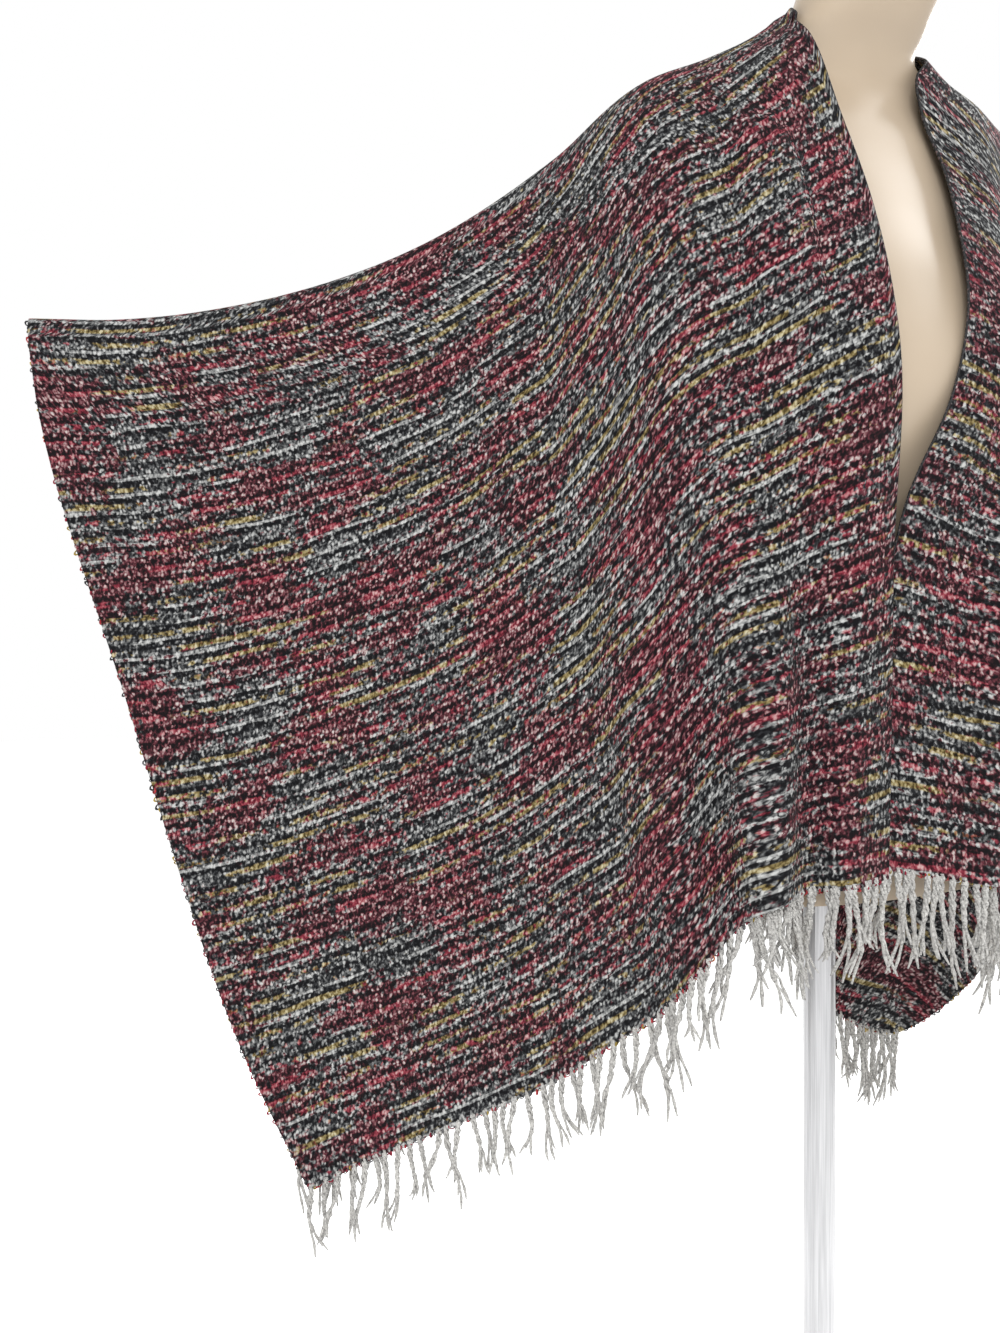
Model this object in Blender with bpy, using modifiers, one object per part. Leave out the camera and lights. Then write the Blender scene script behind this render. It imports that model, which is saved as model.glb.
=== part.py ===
"""A fringed ruana on a torso dress form, in metres, +Z up, the form facing -Y.

The ruana is one woven rectangle, slit from the middle of its front hem to the nape. It is modelled
as the three stretches that show: the front on the held-out side (-X), the front on the side that
falls free (+X), and the back. They part along the line where the cloth turns over the shoulders.
Each stretch is a net of straight-hanging lines: a line leaves the shoulder line level, bends down
and ends at a point of the cloth's edge. Four short tables place the shoulder line and the edges,
and the rows of the edge tables are the crests and hollows of the folds.
"""

import math

import bmesh
import bpy
import numpy as np

# The cloth as cut, without its fringe
HALF_WIDTH = 0.655
FRONT_LENGTH = 0.72
BACK_LENGTH = 0.66
WALL = 0.0025
SEAM_GAP = 0.0011
CLEAR_OF_FORM = 0.0075

# How far along a line the cloth bends, as the handle of its curve
BEND_ON_SHOULDER = 0.075
BEND_ON_WING = 0.022
BEND_ON_FALL = 0.055
BEND_FADES = (0.12, 0.26)
KNEE_SHARE = 0.3

# How a line is kept clear of the form
TAUT_FROM = 0.02
TAUT_OVER = 0.12
MOST_WAY_OUT = 0.25
WAY_OUT_STEP = 0.001

# Shoulder line on the held-out side, from the slit to the held edge
# columns: distance out from the slit, x, y, z
WING_RIDGE = (
    (0.000, -0.048, -0.015, 1.460),
    (0.045, -0.078, -0.008, 1.436),
    (0.090, -0.112, 0.005, 1.416),
    (0.131, -0.147, 0.019, 1.398),
    (0.220, -0.199, 0.064, 1.350),
    (0.330, -0.271, 0.127, 1.298),
    (0.453, -0.365, 0.197, 1.262),
    (0.580, -0.470, 0.265, 1.247),
    (HALF_WIDTH, -0.530, 0.306, 1.250),
)

# Front hem on the held-out side, from the slit to the outer corner
WING_FRONT_HEM = (
    (0.000, -0.047, -0.104, 0.839),
    (0.045, -0.084, -0.106, 0.835),
    (0.085, -0.097, -0.084, 0.831),
    (0.130, -0.130, -0.089, 0.825),
    (0.170, -0.138, -0.062, 0.805),
    (0.210, -0.166, -0.058, 0.779),
    (0.255, -0.171, -0.025, 0.745),
    (0.305, -0.190, 0.010, 0.715),
    (0.370, -0.208, 0.048, 0.683),
    (0.450, -0.248, 0.100, 0.646),
    (0.555, -0.303, 0.155, 0.607),
    (HALF_WIDTH, -0.347, 0.181, 0.582),
)

# Back hem on the held-out side, from the middle of the back to the outer corner
WING_BACK_HEM = (
    (0.000, 0.000, 0.140, 0.797),
    (0.070, -0.045, 0.158, 0.792),
    (0.140, -0.085, 0.130, 0.782),
    (0.220, -0.130, 0.165, 0.757),
    (0.310, -0.170, 0.138, 0.724),
    (0.420, -0.225, 0.185, 0.686),
    (0.540, -0.283, 0.192, 0.640),
    (HALF_WIDTH, -0.341, 0.221, 0.604),
)

# Shoulder line on the side that falls free, from the slit to the end of the shoulder
FALL_RIDGE = (
    (0.000, 0.057, -0.016, 1.458),
    (0.045, 0.082, -0.016, 1.444),
    (0.090, 0.118, -0.018, 1.433),
    (0.150, 0.170, -0.022, 1.416),
)
SHOULDER_END = 0.150

# Front edge on that side: the hem from the slit to the corner, then the woven edge up to the side
# columns: cloth width and cloth length at the point, x, y, z
FALL_FRONT_EDGE = (
    (0.000, FRONT_LENGTH, -0.036, -0.104, 0.845),
    (0.040, FRONT_LENGTH, 0.004, -0.124, 0.838),
    (0.075, FRONT_LENGTH, 0.036, -0.132, 0.830),
    (0.105, FRONT_LENGTH, 0.058, -0.108, 0.818),
    (0.150, FRONT_LENGTH, 0.106, -0.086, 0.776),
    (0.205, FRONT_LENGTH, 0.160, -0.122, 0.724),
    (0.270, FRONT_LENGTH, 0.206, -0.172, 0.682),
    (0.370, FRONT_LENGTH, 0.188, -0.070, 0.652),
    (0.490, FRONT_LENGTH, 0.276, -0.132, 0.604),
    (HALF_WIDTH, FRONT_LENGTH, 0.236, -0.036, 0.566),
    (HALF_WIDTH, 0.500, 0.338, -0.112, 0.724),
    (HALF_WIDTH, 0.300, 0.246, -0.014, 0.828),
    (HALF_WIDTH, 0.150, 0.342, -0.010, 0.920),
    (HALF_WIDTH, 0.060, 0.297, 0.012, 0.912),
)

# Back edge on that side: the woven edge from the side down to the corner, then the hem
FALL_BACK_EDGE = (
    (HALF_WIDTH, 0.060, 0.297, 0.012, 0.912),
    (HALF_WIDTH, -0.030, 0.252, 0.034, 0.900),
    (HALF_WIDTH, -0.110, 0.336, 0.074, 0.906),
    (HALF_WIDTH, -0.250, 0.250, 0.086, 0.838),
    (HALF_WIDTH, -0.400, 0.322, 0.124, 0.762),
    (HALF_WIDTH, -0.530, 0.292, 0.072, 0.704),
    (HALF_WIDTH, -BACK_LENGTH, 0.184, 0.084, 0.645),
    (0.570, -BACK_LENGTH, 0.104, 0.096, 0.681),
    (0.450, -BACK_LENGTH, 0.172, 0.160, 0.705),
    (0.330, -BACK_LENGTH, 0.118, 0.150, 0.758),
    (0.240, -BACK_LENGTH, 0.140, 0.205, 0.765),
    (0.150, -BACK_LENGTH, 0.085, 0.168, 0.780),
    (0.075, -BACK_LENGTH, 0.045, 0.172, 0.790),
    (0.000, -BACK_LENGTH, 0.000, 0.140, 0.797),
)

# The neck opening behind the neck, and where the slit ends. The back's first lines leave that
# opening, and the next ones share the shoulder line out between them.
NAPE = (0.000, 0.030, 1.474)
NECK_SHARE = 0.045
SPREAD_UNTIL = 0.120
TURN_AT_NECK = math.radians(20)
TURN_FADES_OVER = 0.10

# Where the slit's two edges run, from the hem to the neck
# columns: height, x, y
WING_SLIT = (
    (0.839, -0.047, -0.104),
    (0.958, -0.045, -0.104),
    (1.050, -0.050, -0.110),
    (1.190, -0.051, -0.121),
    (1.296, -0.045, -0.092),
    (1.365, -0.048, -0.067),
    (1.425, -0.062, -0.051),
    (1.460, -0.048, -0.015),
)
FALL_SLIT = (
    (0.845, -0.036, -0.104),
    (0.957, -0.036, -0.104),
    (1.058, -0.041, -0.109),
    (1.090, -0.036, -0.115),
    (1.160, 0.002, -0.119),
    (1.235, 0.029, -0.112),
    (1.291, 0.041, -0.095),
    (1.343, 0.050, -0.075),
    (1.389, 0.044, -0.060),
    (1.419, 0.043, -0.056),
    (1.438, 0.059, -0.050),
    (1.448, 0.062, -0.036),
    (1.458, 0.057, -0.016),
)
SLIT_FADES_OVER = 0.15

# How far the held edge bows outwards below the hand, by the share of the way down
HELD_EDGE_BOW = (
    (0.00, 0.000),
    (0.14, 0.012),
    (0.45, 0.015),
    (0.60, 0.018),
    (0.86, 0.015),
    (1.00, 0.000),
)
BOW_FADES_OVER = 0.35

# Net cells between two rows of an edge table, and down a line
CELLS_PER_ROW = 2
CELLS_DOWN = 16
CROWDED_AT_TOP = 1.25

# The torso form, as sections from its cut edge to the neck
# columns: height, middle, half width, front, back
FORM_SECTIONS = (
    (0.820, 0.000, 0.160, -0.094, 0.100),
    (0.860, 0.000, 0.162, -0.097, 0.109),
    (0.940, 0.000, 0.150, -0.094, 0.097),
    (1.030, 0.000, 0.121, -0.084, 0.074),
    (1.110, 0.000, 0.131, -0.100, 0.084),
    (1.190, 0.000, 0.146, -0.114, 0.094),
    (1.250, 0.000, 0.153, -0.100, 0.098),
    (1.310, 0.002, 0.161, -0.078, 0.090),
    (1.350, 0.004, 0.166, -0.064, 0.076),
    (1.375, 0.013, 0.158, -0.056, 0.064),
    (1.390, 0.020, 0.145, -0.050, 0.054),
    (1.402, 0.023, 0.129, -0.046, 0.047),
    (1.412, 0.024, 0.109, -0.045, 0.039),
    (1.422, 0.019, 0.087, -0.049, 0.030),
    (1.434, 0.005, 0.062, -0.057, 0.021),
    (1.450, 0.002, 0.053, -0.077, 0.012),
    (1.475, 0.002, 0.051, -0.102, 0.001),
    (1.512, 0.002, 0.051, -0.130, -0.027),
)
FORM_SIDES = 32
FORM_SQUARENESS = 2.3

# The stand
POLE_RADIUS = 0.012
COLLAR_RADIUS = 0.032
COLLAR_HEIGHT = 0.014
BASE_RADIUS = 0.180
BASE_HEIGHT = 0.008
BASE_EDGE = 0.002
FIT_GAP = 0.0003

# The fringe
TASSELS_PER_HEM = 52
TASSEL_WIDTH = 0.0048
TASSEL_LENGTH = 0.075
TASSEL_TIP_SHARE = 0.55
STRIP_HEIGHT = 0.0035
STRIP_WALL = 0.0018
STRIP_ENDS_IN = 0.0015
HEM_GAP = 0.0013
FOLDED_HEM_GAP = 0.0021
SWAY = 0.006
UNEVEN_LENGTH = 0.16
TASSEL_JOINTS = (0.5, 1.0)


def through(rows, at):
    """The rows' later columns at a value of their first, on a smooth curve through every row."""
    table = np.array(rows)
    knots, values = table[:, 0], table[:, 1:]
    steps = np.diff(knots)
    slopes = np.diff(values, axis=0) / steps[:, None]
    inner = (slopes[:-1] * steps[1:, None] + slopes[1:] * steps[:-1, None]) / (
        steps[:-1] + steps[1:]
    )[:, None]
    tangents = np.vstack([slopes[:1], inner, slopes[-1:]])
    i = int(np.clip(np.searchsorted(knots, at) - 1, 0, len(steps) - 1))
    s = (at - knots[i]) / steps[i]
    return (
        (1 + 2 * s) * (1 - s) ** 2 * values[i]
        + s * (1 - s) ** 2 * steps[i] * tangents[i]
        + s * s * (3 - 2 * s) * values[i + 1]
        + s * s * (s - 1) * steps[i] * tangents[i + 1]
    )


def numbered(rows):
    """The rows with their own number in front, so that a place between two of them can be asked for."""
    return [(float(number), *row) for number, row in enumerate(rows)]


def ramp(value, start, end):
    share = min(max((value - start) / (end - start), 0.0), 1.0)
    return share * share * (3 - 2 * share)


def way_out(point, direction):
    """How far a point has to go along a level direction until it has left the form."""
    if not FORM_SECTIONS[0][0] <= point[2] <= FORM_SECTIONS[-1][0]:
        return 0.0
    middle, half_width, front, back = through(FORM_SECTIONS, point[2])
    walk = np.arange(0, MOST_WAY_OUT, WAY_OUT_STEP)
    across = np.abs(point[0] + walk * direction[0] - middle) / half_width
    along = np.abs(point[1] + walk * direction[1] - (front + back) / 2) / ((back - front) / 2)
    inside = np.nonzero(across**FORM_SQUARENESS + along**FORM_SQUARENESS < 1)[0]
    return walk[inside[-1]] + WAY_OUT_STEP if len(inside) else 0.0


def taut(down, reaches):
    """The reaches of a string pulled tight over the given ones, from the first to the last."""
    kept = []
    for place, reach in zip(down, reaches):
        while len(kept) > 1:
            (first, low), (last, high) = kept[-2:]
            if (high - low) * (place - first) > (reach - low) * (last - first):
                break
            kept.pop()
        kept.append((place, reach))
    places, heights = zip(*kept)
    return np.interp(down, places, heights)


def hanging_line(top, end, leaves, bend):
    """Points down one line of the cloth, which is level as it leaves the shoulder line."""
    handle = top + bend * leaves
    knee = handle + KNEE_SHARE * (end - handle)
    shares = np.linspace(0, 1, CELLS_DOWN + 1)[:, None] ** CROWDED_AT_TOP
    return (
        (1 - shares) ** 3 * top
        + 3 * shares * (1 - shares) ** 2 * handle
        + 3 * shares**2 * (1 - shares) * knee
        + shares**3 * end
    )


def pushed_clear(width, leaves, line):
    """The line moved level, along the way it leaves, until it clears the form and hangs taut."""
    reaches = line @ leaves
    under = np.array([0.0, 0.0, CLEAR_OF_FORM])
    outs = np.array([max(way_out(p, leaves), way_out(p - under, leaves)) for p in line])
    wanted = reaches + np.where(outs > 0, outs + CLEAR_OF_FORM, 0)
    start = int(np.argmax(line[:, 2] < line[0, 2] - TAUT_FROM))
    pulled = taut(-line[start:, 2], wanted[start:]) - wanted[start:]
    wanted[start:] += ramp(width, 0, TAUT_OVER) * pulled
    return line + (wanted - reaches)[:, None] * leaves


def on_to_slit(drawn, slit_rows):
    """The lines with the first one moved on to the slit's edge, and the rest by less and less."""
    _, _, first = drawn[0]
    places = np.array([through(slit_rows, height) for height in first[:, 2]])
    aside = np.hstack([places - first[:, :2], np.zeros((len(first), 1))])
    return [
        (width, leaves, line + (1 - ramp(width, 0, SLIT_FADES_OVER)) * aside)
        for width, leaves, line in drawn
    ]


def bowed(width, line):
    """The line with the bow of the held edge, as far as the line is near that edge."""
    outwards = np.array(WING_RIDGE[-1][1:3]) - np.array(WING_RIDGE[-2][1:3])
    outwards = np.append(outwards / np.linalg.norm(outwards), 0.0)
    down = (line[0, 2] - line[:, 2]) / (line[0, 2] - line[-1, 2])
    bow = np.array([through(HELD_EDGE_BOW, share)[0] for share in down])
    return line + ramp(width, HALF_WIDTH - BOW_FADES_OVER, HALF_WIDTH) * bow[:, None] * outwards


def shoulder_point(ridge, width, front):
    """Where a line leaves the shoulder line, or the neck opening behind the neck."""
    if front or width >= SPREAD_UNTIL:
        return through(ridge, width)
    if width >= NECK_SHARE:
        return through(ridge, (width - NECK_SHARE) * SPREAD_UNTIL / (SPREAD_UNTIL - NECK_SHARE))
    start, end = np.array(NAPE), through(ridge, 0.0)
    corner = np.array([end[0], start[1], (start[2] + end[2]) / 2])
    share = width / NECK_SHARE
    return (1 - share) ** 2 * start + 2 * share * (1 - share) * corner + share**2 * end


def turned_aside(leaves, side, width):
    """The level direction of a line, turned away from the neck as far as the line is near it."""
    turn = side * TURN_AT_NECK * (1 - ramp(width, 0, TURN_FADES_OVER))
    return np.array(
        [
            math.cos(turn) * leaves[0] - math.sin(turn) * leaves[1],
            math.sin(turn) * leaves[0] + math.cos(turn) * leaves[1],
            0.0,
        ]
    )


def wing_lines(hem, front):
    """One side of the held-out wing, from the slit or the middle of the back to the held edge."""
    side = 1 if front else -1
    drawn = []
    for place in np.linspace(0, len(hem) - 1, CELLS_PER_ROW * (len(hem) - 1) + 1):
        width, *end = through(numbered(hem), place)
        width = min(max(width, 0.0), HALF_WIDTH)
        along = through(WING_RIDGE, min(width + 0.01, HALF_WIDTH)) - through(
            WING_RIDGE, max(width - 0.01, 0.0)
        )
        leaves = side * np.array([-abs(along[1]), -abs(along[0]), 0.0])
        leaves /= np.linalg.norm(leaves)
        if front:
            leaves = turned_aside(leaves, -1, width)
        bend = BEND_ON_SHOULDER + (BEND_ON_WING - BEND_ON_SHOULDER) * ramp(width, *BEND_FADES)
        top = shoulder_point(WING_RIDGE, width, front) + leaves * SEAM_GAP / 2
        line = hanging_line(top, np.array(end), leaves, bend)
        drawn.append((width, leaves, bowed(width, line)))
    if front:
        drawn = on_to_slit(drawn, WING_SLIT)
    return [pushed_clear(*one) for one in drawn]


def fall_lines(edge, front):
    """One side of the free fall, between the slit or the middle of the back and the side."""
    side = np.array([0.0, -1.0 if front else 1.0, 0.0])
    drawn = []
    for place in np.linspace(0, len(edge) - 1, CELLS_PER_ROW * (len(edge) - 1) + 1):
        width, length, *end = through(numbered(edge), place)
        past = max(width - SHOULDER_END, 0.0)
        angle = math.atan2(past, length)
        leaves = np.array([math.sin(angle), -math.cos(angle), 0.0])
        if front:
            leaves = turned_aside(leaves, 1, width)
        width = min(max(width, 0.0), SHOULDER_END)
        bend = BEND_ON_SHOULDER + (BEND_ON_FALL - BEND_ON_SHOULDER) * ramp(width, 0.08, 0.15)
        apart = side * SEAM_GAP / 2
        top = shoulder_point(FALL_RIDGE, width, front) + apart
        drawn.append((width, leaves, hanging_line(top, np.array(end) + apart, leaves, bend)))
    if front:
        drawn = on_to_slit(drawn, FALL_SLIT)
    return [pushed_clear(*one) for one in drawn]


def collection_named(name):
    collection = bpy.data.collections.new(name)
    bpy.context.scene.collection.children.link(collection)
    return collection


def material(name, colour, roughness, metallic=0.0):
    made = bpy.data.materials.new(name)
    made.use_nodes = True
    shader = made.node_tree.nodes["Principled BSDF"]
    shader.inputs["Base Color"].default_value = (*colour, 1.0)
    shader.inputs["Roughness"].default_value = roughness
    shader.inputs["Metallic"].default_value = metallic
    return made


def new_object(name, mesh, finish, parts):
    made = bpy.data.objects.new(name, mesh)
    mesh.materials.append(finish)
    parts.objects.link(made)
    return made


def loft(rings, closed_round):
    """Rings of points joined into a surface, each ring with as many points."""
    shape = bmesh.new()
    rows = [[shape.verts.new(point) for point in ring] for ring in rings]
    count = len(rings[0])
    for upper, lower in zip(rows, rows[1:]):
        for i in range(count if closed_round else count - 1):
            j = (i + 1) % count
            shape.faces.new((upper[i], upper[j], lower[j], lower[i]))
    return shape, rows


def cloth(name, lines, finish, parts):
    """A stretch of the cloth: the net of its lines, given its wall."""
    shape, _ = loft(lines, closed_round=False)
    bmesh.ops.remove_doubles(shape, verts=shape.verts, dist=0.0001)
    mesh = bpy.data.meshes.new(name)
    shape.to_mesh(mesh)
    shape.free()
    mesh.shade_smooth()
    made = new_object(name, mesh, finish, parts)
    wall = made.modifiers.new("Wall", "SOLIDIFY")
    wall.thickness = WALL
    wall.offset = 0
    return made


def hem_points(lines):
    """The edge point of each line, and the level direction straight out of the cloth there."""
    points = np.array([line[-1] for line in lines])
    along = np.gradient(points, axis=0)
    outwards = np.stack([along[:, 1], -along[:, 0], np.zeros(len(along))], axis=1)
    return points, outwards / np.linalg.norm(outwards, axis=1)[:, None]


def fringe(name, lines, count, gap, finish, parts):
    """Tassels on a narrow strip just below a hem, each drawn down out of the strip's underside."""
    points, outwards = hem_points(lines)
    steps = np.linalg.norm(np.diff(points, axis=0), axis=1)
    reached = np.concatenate([[0], np.cumsum(steps)])
    middles = (np.arange(count) + 0.5) * reached[-1] / count
    sides = np.concatenate([middles - TASSEL_WIDTH / 2, middles + TASSEL_WIDTH / 2])
    nearest = np.abs(reached[:, None] - middles).min(axis=1)
    stations = np.concatenate([sides, reached[nearest > TASSEL_WIDTH / 2]])
    stations = np.unique(np.clip(stations, STRIP_ENDS_IN, reached[-1] - STRIP_ENDS_IN))
    first = np.searchsorted(stations, sides[:count])
    rings = []
    for station in stations:
        point = np.array([np.interp(station, reached, column) for column in points.T])
        out = np.array([np.interp(station, reached, column) for column in outwards.T])
        out *= STRIP_WALL / 2 / np.linalg.norm(out)
        top = point - (0, 0, gap)
        low = top - (0, 0, STRIP_HEIGHT)
        rings.append((top - out, top + out, low + out, low - out))
    shape, rows = loft(rings, closed_round=True)
    shape.faces.new(rows[0])
    shape.faces.new(rows[-1][::-1])
    bmesh.ops.recalc_face_normals(shape, faces=shape.faces)
    for k in range(count):
        before, after = rows[first[k]], rows[first[k] + 1]
        root = shape.faces.get((before[2], before[3], after[3], after[2]))
        draw_tassel(shape, root, k)
    mesh = bpy.data.meshes.new(name)
    shape.to_mesh(mesh)
    shape.free()
    return new_object(name, mesh, finish, parts)


def draw_tassel(shape, root, k):
    """One tassel: its root face drawn down in joints, each a little swayed and narrower."""
    length = TASSEL_LENGTH * (1 + UNEVEN_LENGTH * math.sin(2.4 * k) * math.sin(0.37 * k + 1))
    sway = SWAY * np.array([math.sin(1.7 * k + 0.4), math.cos(2.3 * k), 0.0])
    middle = np.mean([vertex.co for vertex in root.verts], axis=0)
    corners = [np.array(vertex.co) - middle for vertex in root.verts]
    face = root
    for share in TASSEL_JOINTS:
        face = bmesh.ops.extrude_discrete_faces(shape, faces=[face])["faces"][0]
        centre = middle + sway * share**2 - (0, 0, length * share)
        narrow = 1 + (TASSEL_TIP_SHARE - 1) * share
        flat = [corner * (narrow, narrow, 0) for corner in corners]
        for vertex, corner in zip(face.verts, flat):
            vertex.co = centre + corner


def torso_form(finish, parts):
    """The form: sections joined from the cut edge to the neck, closed flat at both ends."""
    rings = []
    rounding = 2 / FORM_SQUARENESS
    for height, middle, half_width, front, back in FORM_SECTIONS:
        centre, reach = (front + back) / 2, (back - front) / 2
        ring = []
        for turn in np.linspace(0, 2 * math.pi, FORM_SIDES, endpoint=False):
            across, along = math.cos(turn), math.sin(turn)
            ring.append(
                (
                    middle + half_width * math.copysign(abs(across) ** rounding, across),
                    centre + reach * math.copysign(abs(along) ** rounding, along),
                    height,
                )
            )
        rings.append(ring)
    shape, rows = loft(rings, closed_round=True)
    shape.faces.new(rows[0][::-1])
    shape.faces.new(rows[-1])
    bmesh.ops.recalc_face_normals(shape, faces=shape.faces)
    mesh = bpy.data.meshes.new("torso_form")
    shape.to_mesh(mesh)
    shape.free()
    mesh.shade_smooth()
    mesh.set_sharp_from_angle(angle=math.radians(40))
    return new_object("torso_form", mesh, finish, parts)


def turned(name, radius, low, high, edge, sides, finish, parts):
    """A round piece of the stand, as a cylinder with its rims rounded off."""
    bpy.ops.mesh.primitive_cylinder_add(
        vertices=sides, radius=radius, depth=high - low, location=(0, 0, (low + high) / 2)
    )
    made = bpy.context.object
    made.name = name
    made.data.materials.append(finish)
    for collection in made.users_collection:
        collection.objects.unlink(made)
    parts.objects.link(made)
    if edge:
        rim = made.modifiers.new("Rim", "BEVEL")
        rim.width = edge
        rim.segments = 2
        rim.limit_method = "ANGLE"
    made.data.shade_smooth()
    made.data.set_sharp_from_angle(angle=math.radians(40))
    return made


def main():
    for leftover in list(bpy.data.objects):
        bpy.data.objects.remove(leftover, do_unlink=True)
    parts = collection_named("Ruana on a dress form")

    boucle = material("Boucle weave", (0.16, 0.09, 0.10), 0.95)
    yarn = material("Fringe yarn", (0.60, 0.58, 0.56), 0.9)
    skin = material("Form, satin beige", (0.66, 0.52, 0.40), 0.35)
    metal = material("Stand, brushed steel", (0.62, 0.61, 0.60), 0.32, 1.0)

    wing_front = wing_lines(WING_FRONT_HEM, front=True)
    wing_back = wing_lines(WING_BACK_HEM, front=False)
    fall_front = fall_lines(FALL_FRONT_EDGE, front=True)
    fall_back = fall_lines(FALL_BACK_EDGE, front=False)
    cloth("front_held_out", wing_front, boucle, parts)
    cloth("front_falling", fall_front, boucle, parts)
    cloth("back", fall_back + wing_back[1:], boucle, parts)

    to_corner = CELLS_PER_ROW * [row[0] for row in FALL_FRONT_EDGE].index(HALF_WIDTH) + 1
    from_corner = CELLS_PER_ROW * [row[1] for row in FALL_BACK_EDGE].index(-BACK_LENGTH)
    count = TASSELS_PER_HEM
    fringe("fringe_front_held_out", wing_front, count, HEM_GAP, yarn, parts)
    fringe("fringe_front_falling", fall_front[:to_corner], count, FOLDED_HEM_GAP, yarn, parts)
    fringe("fringe_back_held_out", wing_back, count, HEM_GAP, yarn, parts)
    fringe("fringe_back_falling", fall_back[from_corner:], count, HEM_GAP, yarn, parts)

    torso_form(skin, parts)
    form_foot = FORM_SECTIONS[0][0]
    collar_foot = form_foot - FIT_GAP - COLLAR_HEIGHT
    turned("pole_collar", COLLAR_RADIUS, collar_foot, form_foot - FIT_GAP, 0.003, 32, metal, parts)
    pole_foot = BASE_HEIGHT + FIT_GAP
    turned("stand_pole", POLE_RADIUS, pole_foot, collar_foot - FIT_GAP, 0, 24, metal, parts)
    turned("stand_base", BASE_RADIUS, 0, BASE_HEIGHT, BASE_EDGE, 64, metal, parts)


main()
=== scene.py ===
# %% [markdown]
# # A fringed ruana on a dress form
# A ruana is one woven rectangle with a slit from the middle of its front hem to the nape. Here one
# side is held out as a wing and the other falls in folds. The solid model already has the pose, so
# this script loads it as a fixed frame and dresses it: finer cloth, yarn, fringe, form and stand.

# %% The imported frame
import math

import bpy
import numpy as np
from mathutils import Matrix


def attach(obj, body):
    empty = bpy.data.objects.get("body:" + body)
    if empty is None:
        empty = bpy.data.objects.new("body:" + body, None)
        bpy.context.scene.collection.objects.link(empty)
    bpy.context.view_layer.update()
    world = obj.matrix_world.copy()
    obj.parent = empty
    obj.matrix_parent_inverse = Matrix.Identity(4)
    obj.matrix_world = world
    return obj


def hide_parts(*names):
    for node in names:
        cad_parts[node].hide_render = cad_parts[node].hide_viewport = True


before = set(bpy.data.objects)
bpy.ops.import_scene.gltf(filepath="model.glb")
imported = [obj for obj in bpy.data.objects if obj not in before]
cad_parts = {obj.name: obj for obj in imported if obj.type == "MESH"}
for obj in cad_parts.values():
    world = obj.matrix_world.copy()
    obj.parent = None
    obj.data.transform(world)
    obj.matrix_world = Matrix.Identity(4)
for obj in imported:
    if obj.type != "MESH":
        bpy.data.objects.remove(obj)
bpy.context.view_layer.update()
bpy.ops.object.select_all(action="DESELECT")

# %% [markdown]
# ## The cloth's own measures
# The cloth is drawn as many hanging lines, each from the shoulder line down to a point of the
# cloth's edge. A few rows place the shoulder line and the edges, and a smooth curve runs through the
# rows. They are the solid model's own rows, so the fine cloth lies where the solid is. Only the
# slit's lower end differs: the solids need room there, and soft cloth tucks one edge behind the other.

# %% Sizes of the cloth as cut
HALF_WIDTH = 0.655
FRONT_LENGTH = 0.72
BACK_LENGTH = 0.66
WALL = 0.0025
CLEAR_OF_FORM = 0.0075

# Shoulder line on the held-out side: distance out from the slit, x, y, z
WING_RIDGE = (
    (0.000, -0.048, -0.015, 1.460),
    (0.045, -0.078, -0.008, 1.436),
    (0.090, -0.112, 0.005, 1.416),
    (0.131, -0.147, 0.019, 1.398),
    (0.220, -0.199, 0.064, 1.350),
    (0.330, -0.271, 0.127, 1.298),
    (0.453, -0.365, 0.197, 1.262),
    (0.580, -0.470, 0.265, 1.247),
    (HALF_WIDTH, -0.530, 0.306, 1.250),
)
# Hems on the held-out side: distance out from the middle, x, y, z
WING_FRONT_HEM = (
    (0.000, -0.047, -0.104, 0.839),
    (0.045, -0.084, -0.106, 0.835),
    (0.085, -0.097, -0.084, 0.831),
    (0.130, -0.130, -0.089, 0.825),
    (0.170, -0.138, -0.062, 0.805),
    (0.210, -0.166, -0.058, 0.779),
    (0.255, -0.171, -0.025, 0.745),
    (0.305, -0.190, 0.010, 0.715),
    (0.370, -0.208, 0.048, 0.683),
    (0.450, -0.248, 0.100, 0.646),
    (0.555, -0.303, 0.155, 0.607),
    (HALF_WIDTH, -0.347, 0.181, 0.582),
)
WING_BACK_HEM = (
    (0.000, 0.000, 0.140, 0.797),
    (0.070, -0.045, 0.158, 0.792),
    (0.140, -0.085, 0.130, 0.782),
    (0.220, -0.130, 0.165, 0.757),
    (0.310, -0.170, 0.138, 0.724),
    (0.420, -0.225, 0.185, 0.686),
    (0.540, -0.283, 0.192, 0.640),
    (HALF_WIDTH, -0.341, 0.221, 0.604),
)
# Shoulder line on the side that falls free
FALL_RIDGE = (
    (0.000, 0.057, -0.016, 1.458),
    (0.045, 0.082, -0.016, 1.444),
    (0.090, 0.118, -0.018, 1.433),
    (0.150, 0.170, -0.022, 1.416),
)
SHOULDER_END = 0.150
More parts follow.
